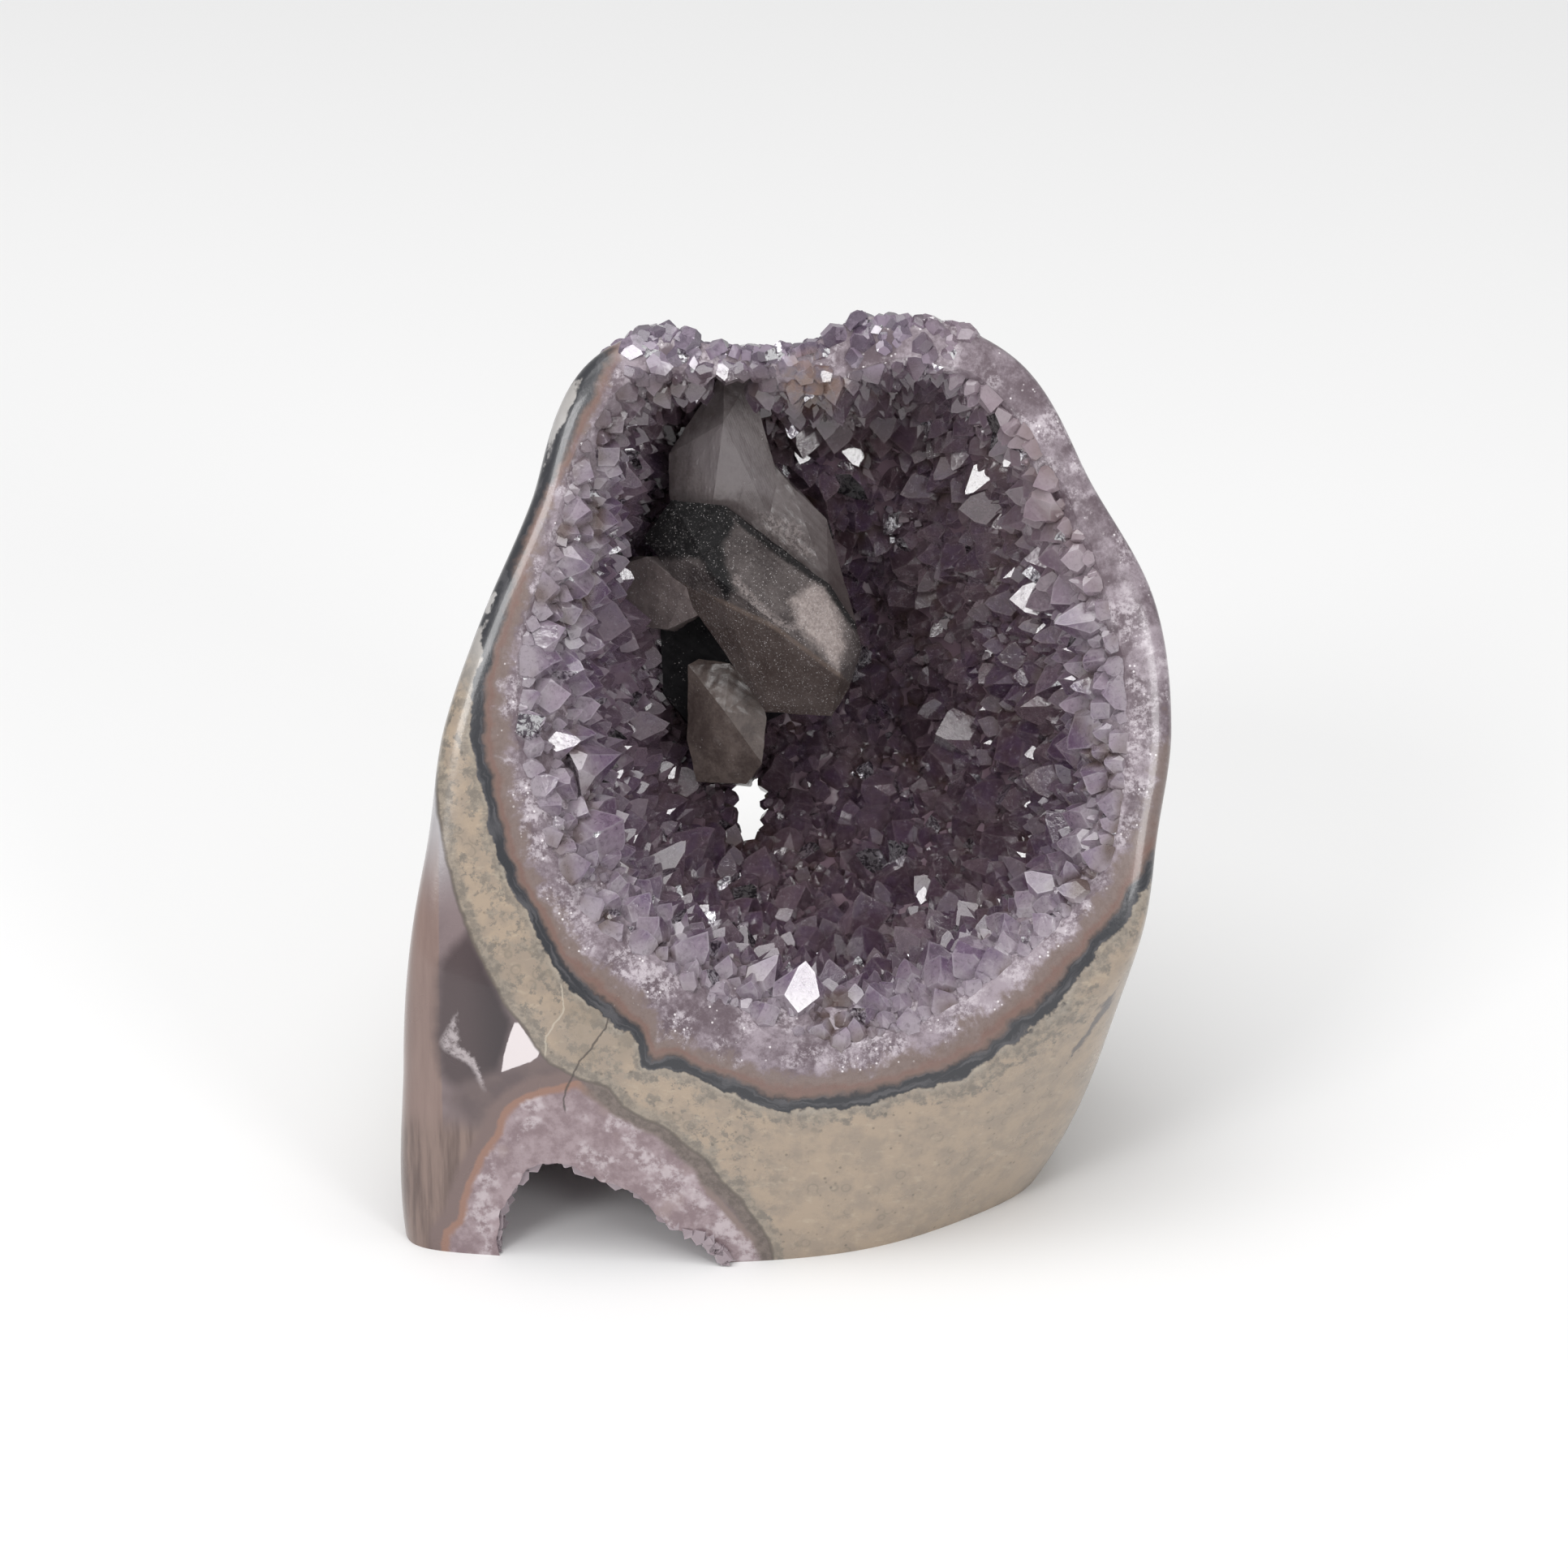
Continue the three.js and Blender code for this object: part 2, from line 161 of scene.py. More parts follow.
def to_face(points):
    """World points, in the frame of the face."""
    return (np.asarray(points, float) - MIDDLE) @ FACE_AXES.T


def unit(vectors):
    vectors = np.asarray(vectors, float)
    return vectors / np.linalg.norm(vectors, axis=-1, keepdims=True)


def closed_curve(values, degrees):
    """A smooth closed curve through values that stand at even angles from -180."""
    values = np.asarray(values, float)
    count = len(values)
    place = (np.asarray(degrees) + 180) * count / 360
    step = np.floor(place).astype(int)
    t = place - step
    a, b, c, d = (values[(step + k) % count] for k in (-1, 0, 1, 2))
    return b + 0.5 * t * (c - a + t * (2 * a - 5 * b + 4 * c - d + t * (3 * (b - c) + d - a)))


def rock_radius(face_directions):
    """How far the rock's skin is from its middle. Each flat asks for a radius and the smallest
    wins, with a rounded edge between two."""
    world = face_directions @ FACE_AXES
    across, up, out = face_directions.T
    angle = np.arctan2(up, across)
    side = closed_curve(OUTLINE, np.degrees(angle))
    taper = TAPER_ALL + TAPER_RIGHT * np.maximum(np.cos(angle), 0)
    sideways = np.hypot(across, up) - side * taper * out
    total = np.maximum(sideways / (side * (1 - FACE_OUT * taper)), 0) ** EDGE_SHARPNESS
    for facing, distance in FLATS:
        towards = world @ unit(facing)
        total += (np.maximum(towards, 0) / distance) ** EDGE_SHARPNESS
    return total ** (-1 / EDGE_SHARPNESS)


def hollow_radius(hollow, directions):
    """A hollow's wall: an ellipsoid, or a form whose cross-section follows its mouth. The main
    hollow's belly is a little less than its mouth, roomier at the top, and flares to the mouth."""
    if "outward" in hollow:
        return rock_radius(directions)
    x, y, z = directions.T
    if "mouth" in hollow:
        across = np.maximum(np.hypot(x, y), 1e-6)
        mouth = closed_curve(hollow["mouth"], np.degrees(np.arctan2(y, x)))
        if "level" in hollow:
            plain = 1 / np.hypot(across / mouth, z / hollow["deep"])
        else:
            belly = mouth * (BELLY_SHARE + TOP_ROOM * np.maximum(y / across, 0) ** 2)
            rim = FACE_OUT - hollow["at"][2]
            flare = (1 - rim / FLARE_DEPTH) / np.maximum(across / mouth - z / FLARE_DEPTH, 1e-6)
            plain = np.maximum(1 / np.hypot(across / belly, z / hollow["deep"]),
                               np.minimum(flare, MOUTH_REACH / np.maximum(z, 1e-6)))
    else:
        plain = 1 / np.linalg.norm(directions / np.array(hollow["semi"], float), axis=1)
    wave = (np.sin(5.1 * x + 1.3) * np.sin(4.3 * y + 0.4)
            + 0.6 * np.sin(8.7 * z + 5.9 * x) * np.cos(7.1 * y))
    return plain * (1 + hollow["lumps"] * wave)


LEVEL_AXES = np.array([[1.0, 0.0, 0.0], [0.0, 0.0, 1.0], [0.0, -1.0, 0.0]])


def hollow_to_world(hollow, points):
    """Points in a hollow's own frame, as world points."""
    if "level" in hollow:
        return np.asarray(points) @ LEVEL_AXES + hollow["at"]
    return to_world(np.asarray(points) + hollow["at"])


# Meshes

def corners(mesh):
    flat = np.empty(len(mesh.vertices) * 3)
    mesh.vertices.foreach_get("co", flat)
    return flat.reshape(-1, 3)


def set_corners(mesh, points):
    mesh.vertices.foreach_set("co", np.asarray(points, float).ravel())
    mesh.update()


def add_field(mesh, name, values, kind="POINT"):
    field = mesh.attributes.new(name, "FLOAT", kind)
    field.data.foreach_set("value", np.asarray(values, np.float32))


def mesh_from(bm, name):
    mesh = bpy.data.meshes.new(name)
    bm.to_mesh(mesh)
    bm.free()
    return mesh


def place(name, mesh):
    piece = bpy.data.objects.new(name, mesh)
    bpy.context.scene.collection.objects.link(piece)
    return piece


def cut_away(bm, point, facing):
    """Takes away what lies beyond a plane and closes the cut."""
    whole = bm.verts[:] + bm.edges[:] + bm.faces[:]
    cut = bmesh.ops.bisect_plane(bm, geom=whole, plane_co=point, plane_no=facing, clear_outer=True)
    rim = [e for e in cut["geom_cut"] if isinstance(e, bmesh.types.BMEdge) and e.is_boundary]
    return bmesh.ops.holes_fill(bm, edges=rim)["faces"]


def carve(mesh, cutters):
    """The mesh with each cutter's form taken out of it."""
    body = place("carved", mesh)
    tools = [place("cutter", cutter) for cutter in cutters]
    for tool in tools:
        cut = body.modifiers.new("cut", "BOOLEAN")
        cut.operation = "DIFFERENCE"
        cut.solver = "EXACT"
        cut.object = tool
    shaped = body.evaluated_get(bpy.context.evaluated_depsgraph_get())
    carved = bpy.data.meshes.new_from_object(shaped)
    for spare in [body] + tools:
        bpy.data.objects.remove(spare)
    return carved


def ring_angles(fraction, edge):
    """Angles from the face's middle, with the rings drawn together at the face's edge."""
    angles = [share * edge for share in RING_SHARES] + [np.full_like(edge, math.pi)]
    result = np.zeros_like(edge)
    for i, (start, end) in enumerate(zip(RING_PLACES, RING_PLACES[1:])):
        inside = (fraction >= start) & (fraction <= end)
        t = (fraction - start) / (end - start)
        result[inside] = (angles[i] + (angles[i + 1] - angles[i]) * t)[inside]
    return result


def rock_skin():
    """The ground and polished body, cut flat underneath, before any hollow is in it."""
    bm = bmesh.new()
    bmesh.ops.create_uvsphere(bm, u_segments=RING_STEPS, v_segments=RINGS, radius=1)
    mesh = mesh_from(bm, "rock_skin")
    x, y, z = corners(mesh).T
    turn = np.arctan2(y, x)
    side = closed_curve(OUTLINE, np.degrees(turn))
    polar = ring_angles(np.arccos(np.clip(z, -1, 1)) / math.pi, np.arctan2(side, FACE_OUT))
    directions = np.stack([np.sin(polar) * np.cos(turn), np.sin(polar) * np.sin(turn),
                           np.cos(polar)], axis=1)
    radius = rock_radius(directions)
    set_corners(mesh, to_world(directions * radius[:, None]))
    bm = bmesh.new()
    bm.from_mesh(mesh)
    cut_away(bm, (0, 0, 0), (0, 0, -1))
    return mesh_from(bm, "rock_skin")


def hollow_mesh(hollow, steps, rough):
    """A hollow's form, with ripples of the given height on its wall."""
    bm = bmesh.new()
    bmesh.ops.create_icosphere(bm, subdivisions=steps, radius=1)
    mesh = mesh_from(bm, "hollow")
    directions = unit(corners(mesh))
    radius = hollow_radius(hollow, directions)
    x, y, z = directions.T * WALL_WAVES
    radius += rough * (np.sin(1.7 * x + 2 * np.sin(1.3 * y)) * np.sin(2.1 * y + np.sin(1.9 * z)))
    set_corners(mesh, hollow_to_world(hollow, directions * radius[:, None]))
    return mesh


def hole_mesh():
    """The see-through hole, wider behind, with a wavy outline."""
    bm = bmesh.new()
    bmesh.ops.create_cone(bm, cap_ends=True, segments=48, radius1=HOLE["back"],
                          radius2=HOLE["front"], depth=HOLE["length"])
    mesh = mesh_from(bm, "hole")
    points = corners(mesh)
    turn = np.arctan2(points[:, 1], points[:, 0])
    points[:, :2] *= 1 + HOLE["lumps"] * (np.sin(3 * turn + 1) + np.sin(5 * turn + 2))[:, None]
    set_corners(mesh, to_world(points + HOLE["at"]))
    return mesh


def nodule_inside(points):
    """How far inside the main nodule's agate line a point is, square to the face's axis."""
    across, up, out = to_face(points).T
    across = across - NODULE_AT[0]
    up = up - NODULE_AT[1]
    swell = (out - NODULE_DEPTH["middle"]) / NODULE_DEPTH["half"]
    at_face = (FACE_OUT - NODULE_DEPTH["middle"]) / NODULE_DEPTH["half"]
    share = np.sqrt(np.maximum(1 - swell ** 2, 0) / (1 - at_face ** 2))
    degrees = np.degrees(np.arctan2(up, across))
    nick = np.exp(-((degrees - NODULE_NICK["angle"]) / NODULE_NICK["half"]) ** 2)
    line = closed_curve(NODULE_RADII, degrees) + NODULE_NICK["deep"] * nick
    return line * share - np.hypot(across, up)


def off_stretch(across, up, start, end):
    """How far points are from a straight stretch on the front."""
    dx, dy = end[0] - start[0], end[1] - start[1]
    across, up = across - start[0], up - start[1]
    t = np.clip((across * dx + up * dy) / (dx * dx + dy * dy), 0, 1)
    return np.hypot(across - t * dx, up - t * dy)


def off_line(points, line):
    """How far points are to the right of a line on the front, as one walks along it."""
    across, up, _ = to_face(points).T
    nearest = np.full(len(across), 1e9)
    side = np.ones(len(across))
    for (x0, y0), (x1, y1) in zip(line, line[1:]):
        away = off_stretch(across, up, (x0, y0), (x1, y1))
        turn = (x1 - x0) * (up - y0) - (y1 - y0) * (across - x0)
        closer = away < nearest - 1e-6
        nearest[closer] = away[closer]
        side[closer] = -np.sign(turn[closer])
    return nearest * side


def inside_patch(points, outline):
    """How far points are inside a closed outline on the front."""
    across, up, _ = to_face(points).T
    nearest = np.full(len(across), 1e9)
    inside = np.zeros(len(across), bool)
    for (x0, y0), (x1, y1) in zip(outline, outline[1:] + outline[:1]):
        nearest = np.minimum(nearest, off_stretch(across, up, (x0, y0), (x1, y1)))
        if y1 != y0:
            crossing = x0 + (up - y0) * (x1 - x0) / (y1 - y0)
            inside ^= ((y0 > up) != (y1 > up)) & (across < crossing)
    return np.where(inside, nearest, -nearest)


def make_rock():
    """The rock with its hollows cut, and the fields that tell its finish where each mark is."""
    skin = rock_skin()
    cutters = [hollow_mesh(HOLLOW, 6, rough=0.5),
               hollow_mesh(FOOT_HOLLOW, 5, rough=0.4),
               hollow_mesh(NOTCH, 5, rough=0.5),
               hollow_mesh(SHELF, 5, rough=0.3),
               hollow_mesh(TIP_ROOM, 4, rough=0.3),
               hole_mesh()]
    mesh = carve(skin, cutters)
    points = corners(mesh)
    behind = to_face(points)[:, 2] < MARKS_TO
    add_field(mesh, "nodule", nodule_inside(points))
    add_field(mesh, "vein", off_line(points, VEIN))
    for name, line in (("dark_crack", DARK_CRACK), ("light_crack", LIGHT_CRACK),
                       ("white_vein", WHITE_VEIN), ("side_vein", SIDE_VEIN)):
        add_field(mesh, name, np.where(behind, FAR, off_line(points, line)))
    for name, outline in (("plum", PLUM), ("reflection_wedge", REFLECTION_WEDGE), ("lobe", LOBE), ("arch", ARCH)):
        add_field(mesh, name, np.where(behind, -FAR, inside_patch(points, outline)))
    add_field(mesh, "hollow", off_wall(HOLLOW, to_face(points) - HOLLOW["at"]))
    set_corners(mesh, points * MM)
    mesh.shade_smooth()
    mesh.set_sharp_from_angle(angle=SHARP_FROM)
    mesh.name = "geode"
    return place("geode", mesh)


# Crystals

CRYSTAL_SPACING = 0.56
ROOT = 1.6
CRYSTAL_KINDS = 12

# The polish takes crystals off this far under the face, and inside the hollow they keep clear of
# the rock's skin
POLISH_CUT = 0.25
SKIN_MARGIN = 1.5

# The broken crest, in degrees round the face and from this far out, and the hollow's ceiling,
# where no large crystal hangs
CREST_FROM = 67
CREST_TO = 115
CREST_OUT = 13
CEILING_FROM = 38
CEILING_LARGEST = 2.4

# How far crystals stand back from the see-through hole, right and up the face
HOLE_ROOM = (2.8, 5.2)
HOLE_ROOM_TO = 20


def quartz_crystal(random):
    """A quartz crystal of width 2: a short prism and six rhomb faces, three of them larger. Each
    face has a middle point, so that a field can tell its middle from its border."""
    bm = bmesh.new()
    bmesh.ops.create_cone(bm, cap_ends=True, segments=6, radius1=1, radius2=1, depth=6)
    slope = math.radians(random.uniform(49, 54))
    for k in range(6):
        turn = math.radians(60 * k + 30)
        facing = Vector((math.sin(slope) * math.cos(turn), math.sin(slope) * math.sin(turn),
                         math.cos(slope)))
        rise = (0.0, 0.32)[k % 2] * random.uniform(0.4, 1.6) + random.uniform(-0.06, 0.06)
        cut_away(bm, Vector((0, 0, 1.1 + rise)), facing)
    points = [v.co[:] for v in bm.verts]
    bm.verts.index_update()
    triangles, sides = [], []
    for side, face in enumerate(bm.faces):
        rim = [v.index for v in face.verts]
        points.append(face.calc_center_median()[:])
        middle = len(points) - 1
        triangles += [(a, b, middle) for a, b in zip(rim, rim[1:] + rim[:1])]
        sides += [side] * len(rim)
    inside = np.zeros(len(points))
    inside[len(bm.verts):] = 1
    bm.free()
    return {"points": np.array(points), "triangles": np.array(triangles), "sides": np.array(sides),
            "inside": inside}


def off_wall(hollow, spots):
    """How far spots are outside a hollow's wall, in its own frame."""
    distance = np.linalg.norm(spots, axis=1)
    return distance - hollow_radius(hollow, spots / distance[:, None])


def outside_of(spots, hollows, distance):
    """Which spots, in the frame of the face, are at least a distance outside all the hollows."""
    return np.all([off_wall(hollow, spots - hollow["at"]) > distance for hollow in hollows], axis=0)


def scattered_on(hollow, sizes, random, keep):
    """Places for crystals on a wall, large ones first, none too close to another."""
    places = np.zeros((0, 3))
    reaches = np.zeros(0)
    for radius, tries, spread in sizes:
        directions = unit(random.normal(size=(tries, 3)))
        spots = directions * hollow_radius(hollow, directions)[:, None]
        world = hollow_to_world(hollow, spots)
        for spot in spots[keep(world, radius)]:
            reach = radius * random.uniform(1 - spread, 1 + spread)
            gaps = np.linalg.norm(places - spot, axis=1) - CRYSTAL_SPACING * (reaches + reach)
            if len(gaps) and gaps.min() < 0:
                continue
            places = np.vstack([places, spot])
            reaches = np.append(reaches, reach)
    slopes = [off_wall(hollow, places + step) - off_wall(hollow, places - step)
              for step in np.eye(3) * 0.4]
    outward = unit(np.stack(slopes, axis=1))
    return places, reaches, outward if "outward" in hollow else -outward


def grow_crystals(name, hollow, sizes, seed, keep, tilt, length):
    """One joined mesh of all the crystals on a wall, with fields for their finish."""
    random = np.random.default_rng(seed)
    kinds = [quartz_crystal(random) for _ in range(CRYSTAL_KINDS)]
    places, reaches, pointing = scattered_on(hollow, sizes, random, keep)
    points, triangles = [], []
    fields = {"height": [], "tone": [], "inside": []}
    facets = []
    start = 0
    for spot, reach, axis in zip(places, reaches, pointing):
        kind = kinds[random.integers(len(kinds))]
        axis = unit(axis + tilt * random.normal(size=3))
        aside = unit(np.cross(axis, unit(random.normal(size=3))))
        own_axes = np.array([aside, np.cross(axis, aside), axis])
        scale = reach * np.array([1, random.uniform(0.82, 1.15), random.uniform(*length)])
        grown = kind["points"] * scale
        grown[:, 2] = np.maximum(grown[:, 2], -ROOT)
        points.append(grown @ own_axes + spot)
        triangles.append(kind["triangles"] + start)
        fields["height"].append(grown[:, 2])
        fields["tone"].append(np.full(len(grown), random.uniform()))
        fields["inside"].append(kind["inside"])
        facets.append(random.uniform(size=kind["sides"].max() + 1)[kind["sides"]])
        start += len(grown)
    mesh = bpy.data.meshes.new(name)
    world = hollow_to_world(hollow, np.vstack(points))
    mesh.from_pydata(world.tolist(), [], np.vstack(triangles).tolist())
    for field, values in fields.items():
        add_field(mesh, field, np.concatenate(values))
    add_field(mesh, "facet", np.concatenate(facets), "FACE")
    return mesh


def trimmed(mesh, planes):
    bm = bmesh.new()
    bm.from_mesh(mesh)
    name = mesh.name
    bpy.data.meshes.remove(mesh)
    for point, facing in planes:
        cut_away(bm, point, facing)
    return mesh_from(bm, name)


def finished_crystals(mesh):
    across, up, out = to_face(corners(mesh)).T
    add_field(mesh, "depth", FACE_OUT - out)
    set_corners(mesh, corners(mesh) * MM)
    return place(mesh.name, mesh)


def make_main_crystals():
    """The crystals that line the main hollow, cut flush with the polished face."""
    towards_face = unit(FACE[0])
    flush = MIDDLE + towards_face * (FACE_OUT - POLISH_CUT)

    def keep(world, radius):
        spots = to_face(world)
        distance = np.linalg.norm(spots, axis=1)
        rock = (world - MIDDLE) @ towards_face < FACE_OUT + 3
        rock &= rock_radius(spots / distance[:, None]) - distance > SKIN_MARGIN
        solid = outside_of(spots, [NOTCH, SHELF], 0)
        hidden = (inside_patch(world, BLADE_OUTLINE) > -0.15 * radius) & (spots[:, 2] > 0)
        hidden |= (radius > CEILING_LARGEST) & (spots[:, 1] > CEILING_FROM) & (spots[:, 2] > 5)
        across, up, out = (spots - HOLE["at"]).T
        beside = np.hypot(across / HOLE_ROOM[0], up / HOLE_ROOM[1]) > 0.9 + 0.14 * radius
        beside |= out > HOLE_ROOM_TO
        return rock & solid & beside & ~hidden

    sizes = [(4.5, 50, 0.12), (3.7, 150, 0.12), (3.0, 1000, 0.15), (2.3, 4500, 0.2),
             (1.7, 9000, 0.25), (1.15, 13000, 0.25)]
    mesh = grow_crystals("amethyst_crystals", HOLLOW, sizes, 5, keep, 0.2, (0.9, 1.4))
    return finished_crystals(trimmed(mesh, [(flush, towards_face)]))


def make_crest_crystals():
    """The rough top edge: crystals on the walls of its two dents and on the skin beside them."""
    sizes = [(2.0, 14000, 0.2), (1.6, 24000, 0.2), (1.15, 36000, 0.2)]
    finished = []
    for name, wall, others, seed, length in (
            ("notch_crystals", NOTCH, [HOLLOW, SHELF], 21, (0.35, 0.6)),
            ("shelf_crystals", SHELF, [HOLLOW, NOTCH], 23, (0.25, 0.5)),
            ("crest_crystals", SKIN, [HOLLOW, NOTCH, SHELF], 22, (0.2, 0.45))):

        def keep(world, radius):
            spots = to_face(world)
            turn = np.degrees(np.arctan2(spots[:, 1], spots[:, 0]))
            ragged = 3 * np.sin(0.45 * spots[:, 0] + 1)
            crest = (turn + ragged * 0.6 > CREST_FROM) & (spots[:, 2] > CREST_OUT + ragged)
            crest &= turn + 2.5 * np.sin(0.9 * spots[:, 2]) < CREST_TO
            if wall is not SKIN:
                distance = np.linalg.norm(spots, axis=1)
                crest &= rock_radius(spots / distance[:, None]) - distance > 0.2
            return crest & outside_of(spots, others, 0.5)

        mesh = grow_crystals(name, wall, sizes, seed, keep, 0.3, length)
        finished.append(finished_crystals(mesh))
    return finished


def make_foot_crystals():
    """The fine crystals that line the foot hollow, cut flush at the front and underneath."""
    frontward = unit(FLATS[1][0])
    front = MIDDLE + frontward * (FLATS[1][1] - 0.8)

    def keep(world, radius):
        return (world[:, 2] > -1) & ((world - MIDDLE) @ frontward < FLATS[1][1] + 1)

    sizes = [(1.9, 900, 0.2), (1.4, 2500, 0.2), (1.0, 5000, 0.2)]
    mesh = grow_crystals("foot_crystals", FOOT_HOLLOW, sizes, 9, keep, 0.3, (0.45, 0.8))
    mesh = trimmed(mesh, [(front, frontward), ((0, 0, 0.3), (0, 0, -1))])
    return finished_crystals(mesh)


# Calcite: the corners of each crystal, right, up and out of the face from its middle
BLADE = [(-11.9, 56.5, 17), (-7.8, 55, 17), (-12, 48, 18), (-9, 38, 13), (-5.6, 44.3, 12),
         (-20.8, 43.6, 9), (-20.6, 36.6, 7), (-16, 20, 3), (2, 20, 3), (-8, 26, 7),
         (-14, 46, -2), (0, 28, -6), (-14, 18, -8)]
SHOULDER = [(-6, 44, 11), (-1.3, 38.5, 10.5), (4.3, 33.3, 7.5), (5.8, 24, 6), (9, 17, 4),
            (-9, 36, 11), (-7, 31, 10), (4.5, 22.5, 8), (-2, 20, -4), (4, 34, -3), (7, 18, -4),
            (-6, 40, -2)]
BAR = [(-24.7, 30.5, 9), (-20.2, 36.2, 11), (-11.6, 35.2, 13), (-7.1, 31.4, 13.5),
       (4.7, 22.8, 12), (8.9, 16.6, 10), (9.8, 12.8, 8.5), (7.7, 6.4, 7), (5.1, 2.1, 5),
       (-13.5, 24, 16), (-4.5, 17.2, 16.5), (6.4, 8.7, 12), (-13, 19.5, 10), (-9.7, 11.5, 6),
       (-5.4, 2.9, 4), (1.9, 3, 4), (-20, 32, -3), (-8, 24, -6), (4, 12, -4), (-4, 6, -5)]
STUB = [(-24.5, 27.5, 6), (-15.6, 27.8, 8), (-11.4, 22.2, 9), (-13.6, 19.4, 8), (-21.1, 16, 3),
        (-23.8, 22, 4), (-18, 22.5, 9), (-36, 24, -8), (-35, 18, -9), (-30, 28, -8),
        (-16, 22, -8), (-20, 16, -8)]
BLOCK = [(-17.9, 10.5, -4), (-16.2, 11.5, -4), (-11.2, 10.7, -2), (-6.6, 6.5, -1), (-5.3, 2, -2),
         (-6, -5.3, -4), (-8.6, -8.6, -7), (-16.7, -8.2, -8), (-18.1, -1.4, -6), (-12, 3, -0.5),
         (-16, 8, -26), (-7, 6, -26), (-8, -9, -27), (-16, -8, -27)]
# The dark root behind the cluster: its black finish is partly a real black coating and partly
# painted shade of the deep gap it fills.
DARK_ROOT = [(-22.5, 19, -7), (-8, 19, -5), (-6, 8, -6), (-9, 0, -8), (-16, -1, -10), (-22, 6, -9),
             (-20, 20, -22), (-2, 22, -26), (0, 4, -28), (-16, -2, -24)]
BLADE_OUTLINE = [(-12, 56), (-8, 55), (-5, 44), (0, 38), (0, 20), (-20, 20), (-21, 44)]
CALCITE = [("blade", BLADE), ("blade", SHOULDER), ("bar", BAR), ("stub", STUB), ("block", BLOCK),
           ("dark root", DARK_ROOT)]
CALCITE_KINDS = ["blade", "bar", "stub", "block", "dark root"]
CALCITE_CUTS = 23

# The calcite's worn skin: the heights and lengths of its waves
WORN = ((0.09, 7), (0.05, 2.6))
WAVE_TURN = 6.28

# Marks on the calcite, right and up the face: a black coat at the bar's end that is partly painted
# shade of its underside, pale and frosted patches, a hazy inner crystal in the blade, and lines
# along the bar
COAT_AND_SHADE = [(-25.5, 30.1), (-20.8, 37), (-15, 37), (-11.3, 34.8), (-10.3, 32), (-12.2, 29.2),
        (-11.8, 25.6), (-10.5, 22), (-11.8, 20.4), (-13.7, 24), (-15.8, 26.9), (-23.7, 27.4)]
PALE = [(-1.3, 20.4), (2.5, 22.8), (4.7, 21.1), (6.4, 17.2), (7, 12.8), (5.7, 9.6), (3.2, 12.8),
        (0, 16)]
FROST = [(-7.1, 35.2), (0, 32.6), (3.2, 26.9), (0, 26.9), (-5.8, 31.3)]
HAZE = [(-20.1, 45.3), (-11.4, 49.4), (-7.3, 45.3), (-5.3, 43), (-3.2, 35.8), (-14.8, 37.1)]
BLACK_EDGE = [(-11.3, 34.8), (-7.1, 31.3), (-1.3, 26.9), (4.7, 22.8), (8.9, 16.6)]
PALE_STREAK = [(-10.3, 23.6), (-4.5, 17.2), (-1.3, 16), (1, 17.5)]
BROWN_RIDGE = [(-12.8, 20.4), (-3.9, 16), (6.4, 8.5)]


def ripples(points, size):
    """Smooth noise between about -1 and 1, with waves of the given size."""
    x, y, z = np.asarray(points).T * (WAVE_TURN / size)
    return (np.sin(x + 1.7 * np.sin(0.61 * y + 0.4)) * np.sin(0.83 * y + 1.3 * np.sin(0.74 * z))
            + np.sin(1.1 * z + 0.7 * x) * np.sin(0.9 * x - 0.8 * y + 2)) / 1.6


def make_calcite():
    """The calcite cluster. Each crystal is the hull of its corners, a little worn."""
    bm = bmesh.new()
    for kind, points in CALCITE:
        verts = [bm.verts.new(p) for p in points]
        hull = bmesh.ops.convex_hull(bm, input=verts)
        spare = {v for v in hull["geom_interior"] if isinstance(v, bmesh.types.BMVert)}
        bmesh.ops.delete(bm, geom=list(spare), context="VERTS")
        for g in hull["geom"]:
            if isinstance(g, bmesh.types.BMFace):
                g.material_index = CALCITE_KINDS.index(kind)
    bmesh.ops.subdivide_edges(bm, edges=bm.edges[:], cuts=CALCITE_CUTS, use_grid_fill=True)
    bm.normal_update()
    normals = np.array([v.normal[:] for v in bm.verts])
    mesh = mesh_from(bm, "calcite")
    points = corners(mesh)
    (broad, broad_size), (fine, fine_size) = WORN
    worn = broad * ripples(points, broad_size) + fine * ripples(points[:, [1, 2, 0]], fine_size)
    set_corners(mesh, to_world(points + normals * worn[:, None]))
    points = corners(mesh)
    for name, outline in (("coat_and_shade", COAT_AND_SHADE), ("pale", PALE), ("frost", FROST), ("haze", HAZE)):
        add_field(mesh, name, inside_patch(points, outline))
    for name, line in (("black_edge", BLACK_EDGE), ("streak", PALE_STREAK)):
        add_field(mesh, name, np.abs(off_line(points, line)))
    add_field(mesh, "ridge", off_line(points, BROWN_RIDGE))
    set_corners(mesh, points * MM)
    return place("calcite", mesh)


# Shader maths

def paint(red, green, blue):
    """A colour read from a screen, 0 to 255, as the shader's linear colour."""
    linear = [((c / 255 + 0.055) / 1.055) ** 2.4 if c > 10 else c / 255 / 12.92
              for c in (red, green, blue)]
    return (*linear, 1)


